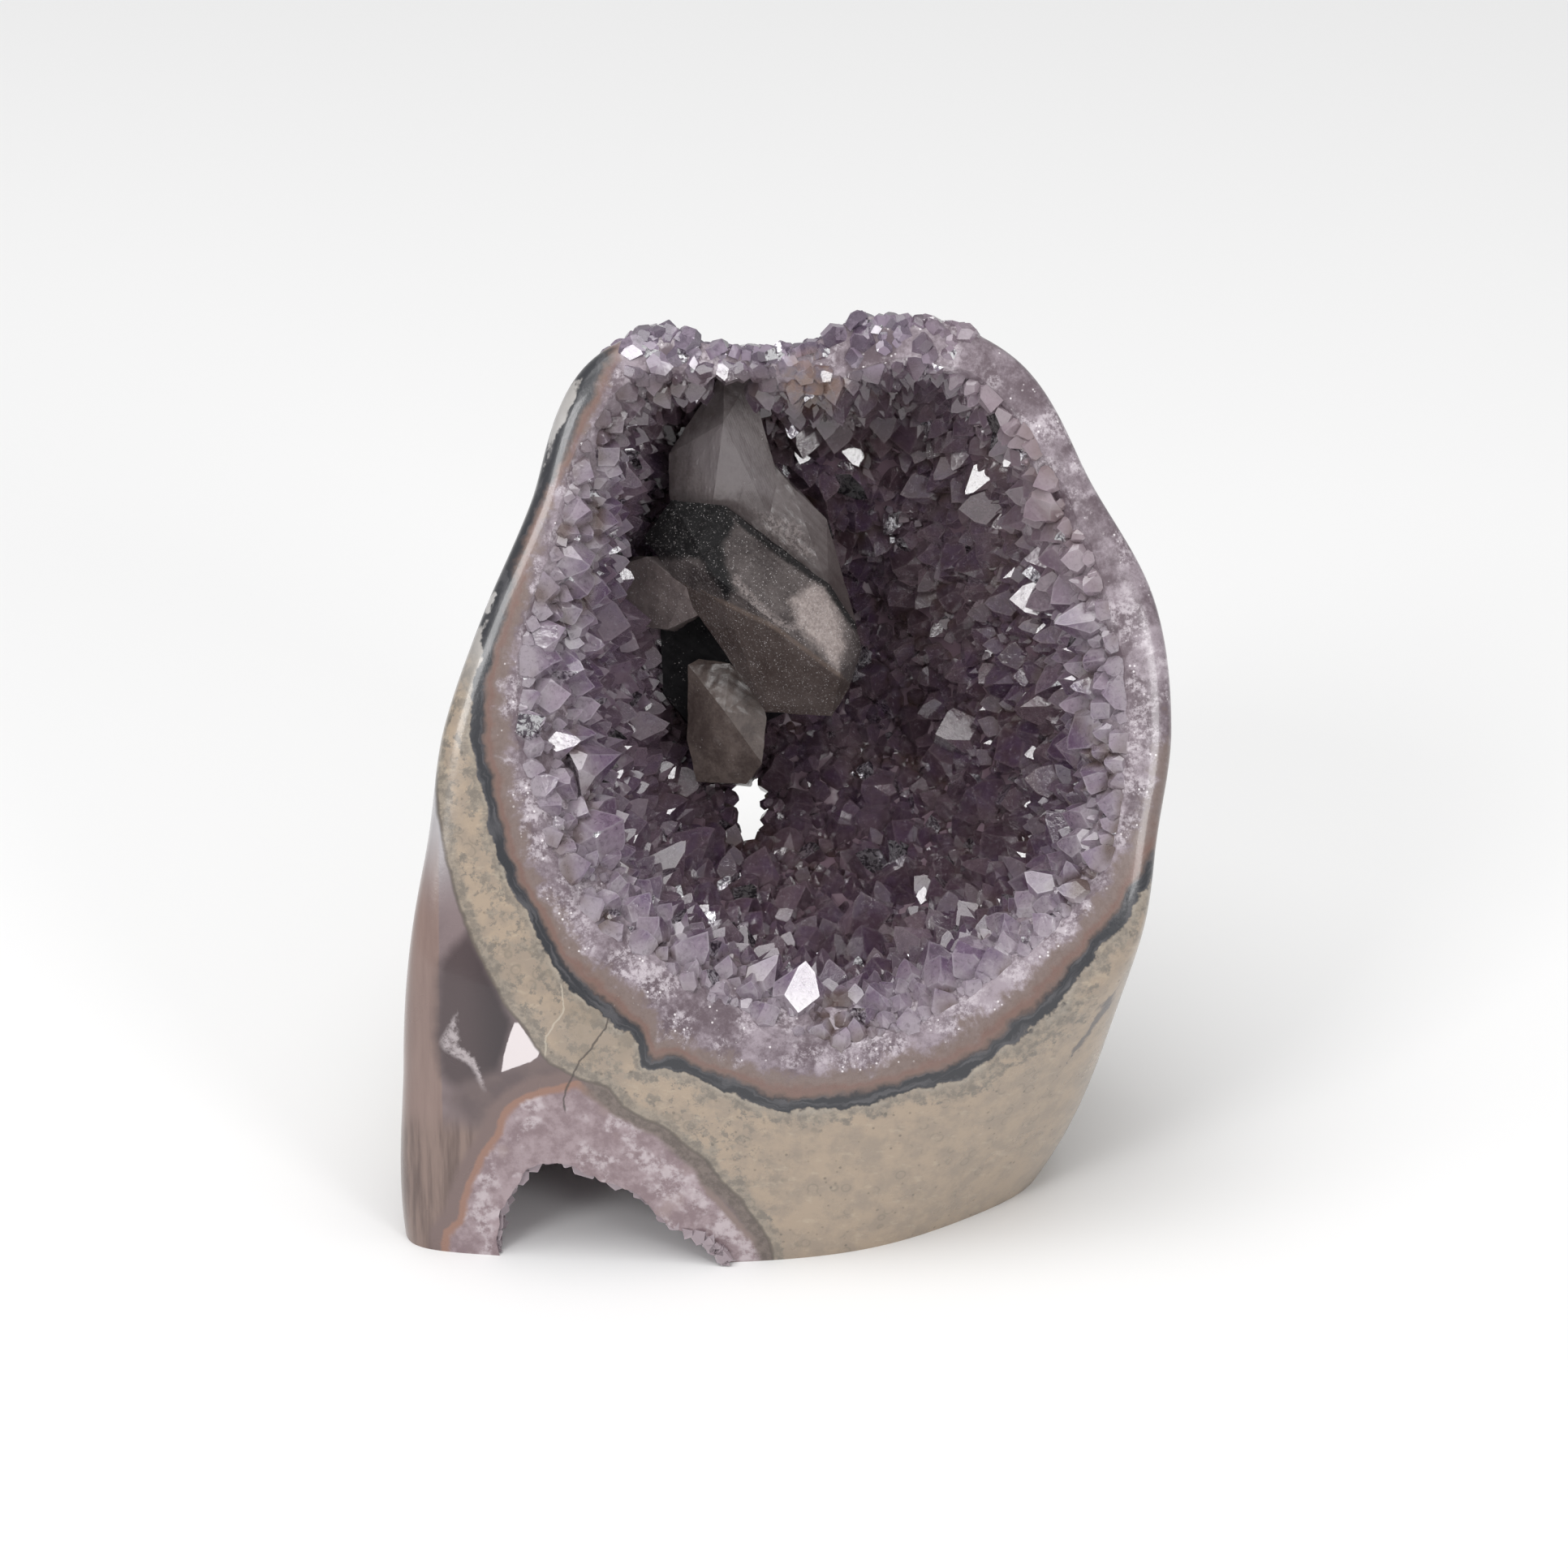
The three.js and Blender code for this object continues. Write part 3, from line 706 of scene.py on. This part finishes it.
class Value:
    """A shader socket that ordinary arithmetic works on."""

    def __init__(self, shader, socket):
        self.shader = shader
        self.socket = socket

    def maths(self, operation, *others):
        return self.shader.node("ShaderNodeMath", {"operation": operation}, [self, *others])

    def __add__(self, other):
        return self.maths("ADD", other)

    __radd__ = __add__

    def __sub__(self, other):
        return self.maths("SUBTRACT", other)

    def __rsub__(self, other):
        return self.shader.node("ShaderNodeMath", {"operation": "SUBTRACT"}, [other, self])

    def __mul__(self, other):
        return self.maths("MULTIPLY", other)

    __rmul__ = __mul__

    def __pow__(self, other):
        return self.maths("POWER", other)

    def __abs__(self):
        return self.maths("ABSOLUTE")

    def rise(self, start, end):
        """0 before start, 1 past end, and a smooth step between; start may be above end."""
        steps = {"interpolation_type": "SMOOTHSTEP", "clamp": True}
        return self.shader.node("ShaderNodeMapRange", steps,
                                {"Value": self, "From Min": start, "From Max": end})

    def band(self, start, end, soft):
        """1 between start and end, 0 outside them, with soft edges."""
        return self.rise(start - soft, start + soft) * (1 - self.rise(end - soft, end + soft))


class Shader:
    """A material whose nodes are made by one method."""

    def __init__(self, name):
        self.material = bpy.data.materials.new(name)
        self.material.use_nodes = True
        self.tree = self.material.node_tree
        self.tree.nodes.clear()
        self.places = self.node("ShaderNodeTexCoord", {}, {}, "Object")

    def node(self, kind, settings, inputs, output=0):
        made = self.tree.nodes.new(kind)
        for name, value in settings.items():
            setattr(made, name, value)
        pairs = inputs.items() if isinstance(inputs, dict) else enumerate(inputs)
        for name, value in pairs:
            socket = made.inputs[name]
            if isinstance(value, Value):
                self.tree.links.new(value.socket, socket)
            else:
                socket.default_value = value
        return Value(self, made.outputs[output])

    def along(self, axis, start=(0, 0, 0)):
        """How far along an axis a place is, in millimetres from a start."""
        seen = self.node("ShaderNodeVectorMath", {"operation": "DOT_PRODUCT"},
                         [self.places, tuple(axis)], "Value")
        return seen * (1 / MM) - float(np.dot(axis, start))

    def vector(self, x, y, z):
        return self.node("ShaderNodeCombineXYZ", {}, [x, y, z])

    def field(self, name):
        return self.node("ShaderNodeAttribute", {"attribute_name": name}, {}, "Fac")

    def noise(self, size, detail=3, rough=0.5, warp=0.0, places=None):
        """Cloudy noise between 0 and 1, with features of the given size in millimetres."""
        return self.node("ShaderNodeTexNoise", {},
                         {"Vector": places or self.places, "Scale": 1 / (size * MM),
                          "Detail": detail, "Roughness": rough, "Distortion": warp})

    def cells(self, size):
        """How far a place is from the nearest of many points that stand about a size apart."""
        return self.node("ShaderNodeTexVoronoi", {"feature": "F1"},
                         {"Vector": self.places, "Scale": 1 / (size * MM)})

    def mix(self, factor, first, second):
        """Colours mixed by a factor. A plain colour is given as a screen shows it, 0 to 255."""
        first, second = (c if isinstance(c, Value) else paint(*c) for c in (first, second))
        return self.node("ShaderNodeMix", {"data_type": "RGBA"},
                         {0: factor, 6: first, 7: second}, 2)

    def bump(self, height, distance, strength):
        return self.node("ShaderNodeBump", {}, {"Height": height, "Distance": distance * MM,
                                                "Strength": strength})

    def finish(self, **sockets):
        made = self.tree.nodes.new("ShaderNodeBsdfPrincipled")
        for name, value in sockets.items():
            socket = made.inputs[name.replace("_", " ").title().replace("Ior", "IOR")]
            if isinstance(value, Value):
                self.tree.links.new(value.socket, socket)
            else:
                socket.default_value = value
        end = self.tree.nodes.new("ShaderNodeOutputMaterial")
        self.tree.links.new(made.outputs[0], end.inputs["Surface"])
        return self.material


def off_patch(patch, across, up):
    """0 at a soft patch's middle and 1 on its ellipse."""
    (x, y), (wide, tall) = patch["at"], patch["semi"]
    return ((across - x) * (1 / wide)) ** 2 + ((up - y) * (1 / tall)) ** 2


def tan_rock(shader, line, vein, up, across):
    """The tan rock round the nodules: clouded beige, with grey margins, specks and small rings."""
    cloud = shader.noise(4, 5, 0.62)
    blotch = shader.noise(1.5, 5, 0.7)
    beige = shader.mix(cloud.rise(0.38, 0.62), (163, 146, 128), (149, 135, 121))
    grey = shader.mix(blotch.rise(0.4, 0.6), (145, 135, 123), (120, 112, 103))
    patches = (shader.noise(3.4, 5, 0.8) + blotch * 0.4).rise(0.67, 0.78)
    ragged = (blotch - 0.5) * 3
    margin = 2 - abs(line + 1.6 + ragged).rise(0.2, 1.8) - abs(vein + 0.8 + ragged).rise(0.3, 2.2)
    calm = across.rise(-14, 2) * 0.4
    colour = shader.mix((patches * (0.7 - calm) + margin * 0.7).rise(0.1, 0.9), beige, grey)
    slanted = shader.vector(across * 0.0001, up * 0.0009, across * 0.0004)
    scuffs = shader.noise(1, 4, 0.6, places=slanted)
    colour = shader.mix(scuffs.rise(0.56, 0.72) * 0.35, colour, (184, 170, 150))
    ring = shader.cells(2.6)
    rings = ring.band(0.26, 0.36, 0.04) * shader.noise(4, 2).rise(0.5, 0.6)
    colour = shader.mix(rings * 0.45, colour, (120, 112, 100))
    specks = (1 - shader.cells(1.5).rise(0.1, 0.22)) * shader.noise(3, 2).rise(0.46, 0.6)
    colour = shader.mix(specks * 0.6, colour, (96, 88, 78))
    outline = line.band(-1.5, -1.1, 0.2) * 0.25 * cloud.rise(0.4, 0.6)
    colour = shader.mix(outline, colour, (186, 178, 166))
    lump = off_patch(LUMP, across, up).rise(1.4, 0.5)
    colour = shader.mix(lump * cloud.rise(0.62, 0.4) * 0.7, colour, (132, 121, 108))
    # Painted reflection: paler grey towards the upper left, where the grazing side mirrors the
    # bright surroundings.
    pale = up.rise(2, 20) * (1 - across.rise(-40, -22))
    return shader.mix(pale, colour, shader.mix(cloud, (150, 146, 144), (190, 188, 187)))


def second_nodule(shader, vein, up, across):
    """Glossy mauve and brown chalcedony, with a pale arch of quartz round the foot hollow."""
    upright = shader.vector(across * 0.0005, up * 0.00004, 0)
    streaks = shader.noise(1, 4, 0.6, places=upright)
    soft = shader.noise(8, 3)
    fine = shader.noise(1.2, 4, 0.7)
    pink = shader.mix(streaks.rise(0.25, 0.75), (122, 101, 95), (137, 116, 109))
    grey = shader.mix(soft.rise(0.35, 0.65), (124, 109, 110), (108, 94, 96))
    colour = shader.mix(across.rise(-55.95, -55.55), pink, grey)
    low = shader.mix(streaks.rise(0.38, 0.62), (94, 77, 72), (130, 110, 102))
    foot = up.rise(-59, -64) * (1 - across.rise(-49.5, -46.5))
    colour = shader.mix(foot, colour, low)
    # Painted reflection: the upper part is painted pale, where the grazing side mirrors the bright
    # surroundings.
    colour = shader.mix(up.rise(-30, -8) * (0.6 + soft * 0.6), colour, (190, 190, 194))
    plum = shader.field("plum") + (shader.noise(3, 3) - 0.5) * 1.2
    dark = shader.mix(across.rise(-53, -46), (74, 61, 63), (54, 44, 47))
    colour = shader.mix(plum.rise(-1.2, 1.4), colour, dark)
    lobe = shader.field("lobe") + (soft - 0.5) * 1.6
    mauve = shader.mix(soft.rise(0.4, 0.6), (92, 78, 79), (106, 91, 89))
    colour = shader.mix(lobe.rise(-2.2, 1.2), colour, mauve)
    thread = abs(shader.field("white_vein") + (shader.noise(1.2, 4, 0.65) - 0.5) * 1.8)
    width = up.rise(-54.5, -49) * (1 - up.rise(-48, -44.5)) * 0.75 + 0.02
    thread = (1 - (thread - width).rise(-0.1, 0.6)) * up.band(-55.5, -44.5, 1.5)
    colour = shader.mix(thread * fine.rise(0.25, 0.6) * 0.75, colour, (190, 180, 182))
    # Painted reflection: the pale wedge is where the polished chalcedony mirrors something bright.
    reflection_wedge = shader.field("reflection_wedge") + (fine - 0.5) * 0.35
    colour = shader.mix(reflection_wedge.rise(-0.12, 0.08), colour, (220, 211, 212))

    left = 1 - across.rise(-35.5, -30.5)
    reach = shader.field("arch") + (shader.noise(4, 3) - 0.5) * 1.6 + (fine - 0.5) * 0.5
    brown = shader.mix(fine.rise(0.35, 0.65), (92, 82, 77), (116, 104, 98))
    skin = (1 - left) * (1 - (vein + (soft - 0.5) * 3).rise(1.4, 2.8))
    colour = shader.mix(reach.rise(-3.6, -2.0) * left, colour, (114, 96, 93))
    quartz = shader.noise(2.6, 5, 0.65)
    arch = shader.mix(quartz.rise(0.35, 0.65), (127, 108, 112), (155, 138, 142))
    frost = shader.noise(5, 3).rise(0.5, 0.6) * (fine * 0.5 + quartz * 0.5).rise(0.42, 0.56)
    arch = shader.mix(frost * 0.5, arch, (206, 196, 200))
    arch = shader.mix(shader.noise(6, 2).rise(0.58, 0.75) * 0.6, arch, (150, 132, 130))
    rim = shader.mix(left, (128, 111, 106), (142, 108, 94))
    colour = shader.mix(reach.rise(-1.0, -0.5), colour, rim)
    colour = shader.mix(reach.rise(0.0, 0.9), colour, arch)
    return shader.mix(skin, colour, brown)


def cut_crystals(shader, spokes):
    """A tone for each crystal that the polish has cut across, long towards the nodule's middle."""
    tones = shader.node("ShaderNodeTexVoronoi", {"feature": "SMOOTH_F1"},
                        {"Vector": spokes, "Scale": 260, "Smoothness": 0.35}, "Color")
    return shader.node("ShaderNodeSeparateColor", {}, [tones], 0)


def agate_bands(shader, line, up, across):
    """Inward from the main nodule's skin: slate, a red thread, brown agate and streaked quartz."""
    turn = (up - NODULE_AT[1]).maths("ARCTAN2", across - NODULE_AT[0])
    spokes = shader.vector(turn * 0.05, line * 0.0006, 0)
    streaks = shader.noise(2.6, 5, 0.7, warp=0.4, places=spokes)
    layers = shader.noise(1.5, 4, places=shader.vector(turn * 0.012, line * 0.0022, 0))
    slate = shader.mix(layers.rise(0.45, 0.65), (44, 45, 50), (76, 75, 79))
    veil = shader.noise(5, 5, 0.7)
    grains = shader.noise(0.9, 5, 0.8)
    brown = shader.mix((line + streaks * 2).rise(1.6, 4), (124, 100, 90), (122, 107, 103))
    brown = shader.mix(grains.rise(0.4, 0.65) * 0.4, brown, (98, 82, 76))
    cut = cut_crystals(shader, spokes)
    bright = across.rise(-10, 28) * up.rise(-18, -38)
    body = (cut * 0.35 + veil * 0.7 + (grains - 0.5) * 0.8 + bright * 0.22).rise(0.3, 0.85)
    frost = shader.mix(body, (96, 82, 89), (157, 145, 153))
    clumps = (shader.noise(6, 3) + bright * 0.1).rise(0.46, 0.6)
    clumps = clumps * (grains * 0.6 + streaks * 0.4).rise(0.46, 0.58)
    frost = shader.mix(clumps * 0.6, frost, (208, 199, 205))
    narrow = up.rise(0, 40) * 1.8
    start = (line + narrow + (streaks - 0.5) * 4 + (veil - 0.5) * 8).rise(2.8, 5.2)
    colour = shader.mix(start, brown, frost)
    sparks = (1 - shader.cells(1.1).rise(0.12, 0.2)) * shader.noise(3, 3).rise(0.5, 0.6)
    sparks = sparks * line.rise(2.4, 4)
    colour = shader.mix(sparks * 0.8, colour, (232, 226, 228))
    colour = shader.mix(line.band(1.2, 1.9, 0.4) * 0.5, colour, (114, 84, 78))
    return shader.mix(1 - (line + (grains - 0.5) * 0.8).rise(0.2, 1.4), colour, slate)


def rock_finish():
    """The whole stone: tan rock, the rinds of both nodules, and a weathered back."""
    shader = Shader("geode_rock")
    across = shader.along(RIGHT, MIDDLE)
    up = shader.along(UP, MIDDLE)
    out = shader.along(OUT, MIDDLE)
    bend = shader.noise(13, 2) - 0.5
    ripple = shader.noise(3, 3, 0.6) - 0.5
    line = shader.field("nodule") + bend * 3.5 + ripple * 2.2
    vein = shader.field("vein") + (shader.noise(6, 3) - 0.5) * 1.6

    tan = tan_rock(shader, line, vein, up, across)
    crack = abs(shader.field("dark_crack") + ripple * 1.2)
    crack = (1 - crack.rise(0.04, 0.24)) * up.band(-59.5, -41, 0.3)
    split = abs(shader.field("light_crack") + ripple * 1.2)
    split = (1 - split.rise(0.04, 0.22)) * up.band(-53, -39.5, 0.3)
    tan = shader.mix(split * 0.6, tan, (190, 180, 164))
    wisp = abs(shader.field("side_vein") + ripple * 2)
    tan = shader.mix((1 - wisp.rise(0.15, 0.6)) * 0.8, tan, (82, 80, 84))
    second = second_nodule(shader, vein, up, across)
    outside = shader.mix(vein.rise(-0.2, 0.2), tan, second)
    outside = shader.mix(vein.band(-0.3, 0.2, 0.2) * 0.7, outside, (82, 74, 68))
    outside = shader.mix(crack * 0.8, outside, (66, 58, 54))
    colour = shader.mix(line.rise(-1.2, -0.9), outside, agate_bands(shader, line, up, across))
    wall = (1 - shader.field("hollow").rise(0.4, 1.2)) * (1 - out.rise(18, 28))
    colour = shader.mix(wall, colour, (116, 96, 106))

    grain = shader.noise(0.8, 4, 0.6)
    gloss = shader.noise(6, 3)
    behind = (out + (gloss - 0.5) * 14).rise(-4, -16) * shader.field("hollow").rise(0.6, 2.2)
    pits = (1 - shader.cells(2.4).rise(0.08, 0.34)) * shader.noise(3, 4, 0.7).rise(0.5, 0.6)
    pits = pits * behind
    stained = shader.noise(7, 5, 0.7).rise(0.35, 0.65)
    weathered = shader.mix(stained, (118, 106, 94), (152, 138, 122))
    colour = shader.mix(behind * 0.94, colour, weathered)
    colour = shader.mix(pits * 0.6, colour, (84, 74, 66))
    height = grain - crack * 2 + behind * (shader.noise(4, 6, 0.75) * 16 - pits * 6)
    return shader.finish(
        base_color=colour,
        roughness=0.22 + gloss * 0.14 + behind * 0.4,
        normal=shader.bump(height, 0.06, 0.6),
        coat_weight=0.35 * (1 - behind),
        coat_roughness=0.08,
    )


def amethyst_finish():
    """Glossy violet crystals with pale roots, painted shade that darkens and browns them deeper in
    the hollow, and a few facets with a painted glint.
    """
    shader = Shader("amethyst")
    height = shader.field("height")
    tone = shader.field("tone")
    depth = shader.field("depth")
    facet = shader.field("facet")
    border = 1 - shader.field("inside").rise(0, 0.2)
    across = shader.along(RIGHT, MIDDLE)
    up = shader.along(UP, MIDDLE)
    cloud = shader.noise(2.2, 4, 0.65)
    fine = shader.noise(0.8, 4, 0.7, 0.6)
    # Painted shade: the crystals are painted darker and browner the deeper they stand in the
    # hollow; the light, dark, root and border colours all follow it.
    deep = (depth + (tone - 0.5) * 10).rise(3, 34)
    light = shader.mix(deep, (207, 186, 206), (174, 150, 160))
    dark = shader.mix(deep, (130, 102, 134), (110, 86, 97))
    shade = (facet * 0.55 + tone * 0.25 + cloud * 0.7 - 0.25).rise(0.2, 0.9)
    tip = shader.mix(shade, dark, light)
    violet = shader.noise(8, 2).rise(0.42, 0.62) * cloud.rise(0.3, 0.6)
    tip = shader.mix(violet * 0.5, tip, (116, 88, 136))
    ripe = (height + (cloud - 0.5) * 5 + depth * 0.12).rise(-0.5, 4.5)
    root = shader.mix(deep, (206, 194, 204), (148, 126, 128))
    colour = shader.mix(ripe, root, tip)
    colour = shader.mix(fine.rise(0.52, 0.72) * 0.45, colour, (222, 212, 222))
    colour = shader.mix(fine.rise(0.5, 0.3) * 0.45, colour, (74, 56, 74))
    # Painted highlight: the facets' borders are painted paler, as edges that catch the light.
    edge = shader.mix(deep, (226, 216, 226), (176, 156, 160))
    colour = shader.mix(border * 0.4, colour, edge)
    stain = shader.noise(9, 3).rise(0.46, 0.68) * (1 - height.rise(0.2, 2.5)) * 0.8
    colour = shader.mix(stain, colour, (116, 91, 76))
    # Painted shade: at the crest, where the overhead lamp falls, the crystals are painted darker,
    # in a more purple and contrasting tone.
    sugar = (shade + (fine - 0.5) * 0.6).rise(0.2, 0.8)
    crest_shade = shader.mix(sugar, (88, 66, 100), (182, 162, 188))
    colour = shader.mix(up.rise(50, 58) * 0.75, colour, crest_shade)
    lit_left = across.rise(-14, -32) * deep * 0.4
    colour = shader.mix(lit_left, colour, (192, 168, 194))
    # Painted shade: the crystals under the hollow's ceiling are painted darker, where the overhang
    # shades them.
    ceiling_shade = up.rise(40, 47) * (1 - up.rise(53, 57)) * (1 - across.rise(16, 28))
    colour = shader.mix(ceiling_shade * 0.6, colour, (92, 72, 74))
    sunlit = across.rise(12, 34) * up.rise(10, 34) * (1 - deep * 0.6) * 0.55
    colour = shader.mix(sunlit, colour, (206, 184, 190))
    shaded = up.rise(20, -20) * depth.rise(3, 14) * across.rise(-30, -10) * 0.35
    colour = shader.mix(shaded, colour, (98, 76, 92))
    rust = off_patch(RUST, across, up).rise(1.2, 0.2) * cloud.rise(0.35, 0.6)
    colour = shader.mix(rust * 0.6, colour, (168, 132, 106))
    # Painted glint: a few facets are painted near-white with dark mottling and made metallic, to
    # flash like facets that mirror a lamp.
    glint = facet.rise(0.965, 0.968)
    cracked = shader.noise(1.1, 5, 0.75, 1.2).rise(0.42, 0.56)
    glint_colour = shader.mix(cracked, (104, 94, 106), (248, 247, 250))
    colour = shader.mix(glint, colour, glint_colour)
    grain = shader.noise(1.6, 3, 0.6) + fine * 0.25
    return shader.finish(
        base_color=colour,
        metallic=glint * 0.85,
        roughness=0.06 + facet * 0.12,
        normal=shader.bump(grain, 0.14, 0.5),
        transmission_weight=0.55,
        ior=1.54,
        coat_weight=0.8,
        coat_roughness=0.03,
    )


def foot_finish():
    shader = Shader("pale_quartz")
    tone = shader.field("tone")
    border = 1 - shader.field("inside").rise(0, 0.2)
    cloud = shader.noise(2, 4, 0.65)
    colour = shader.mix(tone * 0.5 + cloud * 0.5, (150, 132, 140), (192, 178, 184))
    # Painted highlight: the facets' borders are painted paler, as edges that catch the light.
    colour = shader.mix(border * 0.3, colour, (214, 204, 208))
    return shader.finish(base_color=colour, roughness=0.16, transmission_weight=0.35, ior=1.54)


class Calcite:
    """The parts that the calcite's finishes share."""

    def __init__(self, name):
        self.shader = Shader(name)
        self.cloud = self.shader.noise(7, 4, 0.6, 0.5)
        slanted = self.shader.vector(self.shader.along(RIGHT + UP) * 0.00035,
                                     self.shader.along(RIGHT - UP) * 0.00005, 0)
        self.veil = self.shader.noise(1, 5, 0.6, places=slanted)
        self.fine = self.shader.noise(0.5, 4, 0.7)
        self.edge = (self.shader.noise(1.6, 4, 0.7) - 0.5) * 2.4

    def clouded(self, light, dark, streaks=0.4):
        shade = (self.cloud * (1 - streaks) + self.veil * streaks + (self.fine - 0.5) * 0.4)
        return self.shader.mix(shade.rise(0.32, 0.68), dark, light)

    def specks(self, size, share):
        """Frost specks of a size, and dust; share is how much of the surface has them."""
        dots = 1 - self.shader.cells(size).rise(0.08, 0.2)
        dust = self.shader.noise(0.4, 5, 0.85).rise(0.55, 0.68) * 0.55
        clusters = self.shader.noise(3, 4, 0.7).rise(0.66 - share * 0.3, 0.82 - share * 0.3)
        return dots.maths("MAXIMUM", dust) * clusters

    def done(self, colour, frost, see_through, rough, ior=1.5):
        return self.shader.finish(
            base_color=self.shader.mix(frost, colour, (214, 208, 208)),
            roughness=rough + frost * 0.2,
            normal=self.shader.bump(self.fine * 0.5 + frost * 0.6, 0.15, 0.6),
            transmission_weight=see_through,
            ior=ior,
        )


def blade_finish():
    c = Calcite("smoky calcite")
    mix, field = c.shader.mix, c.shader.field
    colour = c.clouded((140, 131, 131), (112, 102, 102), 0.05)
    haze = (field("haze") + c.edge * 0.8).rise(-1.2, 3)
    colour = mix(haze * 0.4, colour, (160, 152, 155))
    low = c.shader.along(UP, MIDDLE).rise(38, 26)
    colour = mix(low * 0.45, colour, (88, 76, 74))
    frost = (field("frost") + c.edge * 1.4).rise(-0.6, 1.4) * c.fine.rise(0.4, 0.6)
    return c.done(mix(frost * 0.6, colour, (184, 172, 170)), c.specks(0.9, 0.3), 0.4, 0.18)


def bar_finish():
    c = Calcite("frosted calcite")
    mix, field = c.shader.mix, c.shader.field
    colour = c.clouded((92, 85, 84), (54, 48, 48), 0.3)
    ridge = field("ridge") + c.edge * 0.15
    colour = mix(ridge.rise(-0.6, 0.6) * 0.5, colour, (74, 61, 56))
    pale = (field("pale") + c.edge * 1.2).rise(-1.2, 1.0)
    streak = 1 - (field("streak") + c.edge * 0.8).rise(0.1, 1.2)
    colour = mix(streak * c.fine.rise(0.35, 0.6) * 0.6, colour, (144, 134, 132))
    sugar = mix(c.fine.rise(0.35, 0.65), (138, 127, 124), (168, 157, 153))
    colour = mix(pale * 0.9, colour, sugar)
    colour = mix((1 - abs(ridge).rise(0.1, 0.6)) * 0.35, colour, (132, 115, 104))
    # The black coat at the bar's end is partly a real black coating and partly painted shade of the
    # bar's underside.
    black = (field("coat_and_shade") + c.edge * 0.9).rise(-0.9, 0.5)
    edge = 1 - (field("black_edge") + c.edge * 0.3).rise(0.5, 1.3)
    black = black.maths("MAXIMUM", edge * 0.9)
    colour = mix(black, colour, (22, 21, 22))
    frost = c.specks(0.5, 1.1) * (1 - black * 0.3) * 0.75
    return c.done(colour, frost, 0.0, 0.5, 1.25)


def stub_finish():
    c = Calcite("brown calcite")
    colour = c.clouded((124, 113, 111), (96, 86, 85), 0.3)
    return c.done(colour, c.specks(0.62, 1.0) * 0.8, 0.1, 0.4)


def block_finish():
    c = Calcite("honey calcite")
    colour = c.clouded((112, 100, 95), (78, 67, 64), 0.1)
    return c.done(colour, c.specks(0.8, 0.4) * 0.6, 0.15, 0.25)


# The dark root: a black coating, and painted shade where the deep gap behind the cluster is in
# shadow.
def black_and_shade_finish():
    c = Calcite("black calcite and painted shade")
    colour = c.clouded((36, 35, 37), (16, 15, 17))
    return c.done(colour, c.specks(0.7, 0.5) * 0.7, 0.0, 0.5, 1.2)


def calcite_finishes():
    """In the order of the calcite's kinds."""
    return [blade_finish(), bar_finish(), stub_finish(), block_finish(), black_and_shade_finish()]


def floor_finish():
    shader = Shader("table")
    return shader.finish(base_color=(0.9, 0.9, 0.9, 1), roughness=0.7)


# Floor, light and camera

def make_floor():
    bm = bmesh.new()
    bmesh.ops.create_grid(bm, x_segments=2, y_segments=2, size=6)
    floor = place("table", mesh_from(bm, "table"))
    floor.data.materials.append(floor_finish())


def area_light(name, spot, size, power):
    light = bpy.data.lights.new(name, "AREA")
    light.shape = "RECTANGLE"
    light.size, light.size_y = size
    light.energy = power
    lamp = bpy.data.objects.new(name, light)
    lamp.location = Vector(spot) * MM
    away = (Vector(spot) - Vector(LIT_SPOT)).normalized()
    lamp.rotation_euler = away.to_track_quat("Z", "Y").to_euler()
    bpy.context.scene.collection.objects.link(lamp)


def make_light():
    world = bpy.data.worlds.new("room")
    world.use_nodes = True
    sky = world.node_tree.nodes["Background"]
    sky.inputs["Color"].default_value = (1, 1, 1, 1)
    sky.inputs["Strength"].default_value = 0.5
    bpy.context.scene.world = world
    for name, settings in LIGHTS.items():
        area_light(name, *settings)


def make_camera():
    bpy.context.scene.view_settings.view_transform = "Standard"
    camera = bpy.data.cameras.new("camera")
    camera.sensor_width = SENSOR
    camera.lens = SENSOR * CAMERA_AWAY / FRAME_WIDTH
    camera.clip_start = 0.01
    holder = bpy.data.objects.new("camera", camera)
    spot = np.array(TARGET) + OUT * CAMERA_AWAY
    holder.location = Vector(spot) * MM
    holder.rotation_euler = (math.pi / 2 - FACE_LEAN, 0, 0)
    bpy.context.scene.collection.objects.link(holder)
    bpy.context.scene.camera = holder


def dress(piece, materials, node):
    for material in materials:
        piece.data.materials.append(material)
    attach(piece, "root")
    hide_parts(node)


make_camera()
make_light()
make_floor()
dress(make_rock(), [rock_finish()], "geode_rock")
amethyst = amethyst_finish()
for crystals in [make_main_crystals()] + make_crest_crystals():
    dress(crystals, [amethyst], "amethyst_crust")
dress(make_foot_crystals(), [foot_finish()], "foot_crust")
dress(make_calcite(), calcite_finishes(), "calcite_cluster")
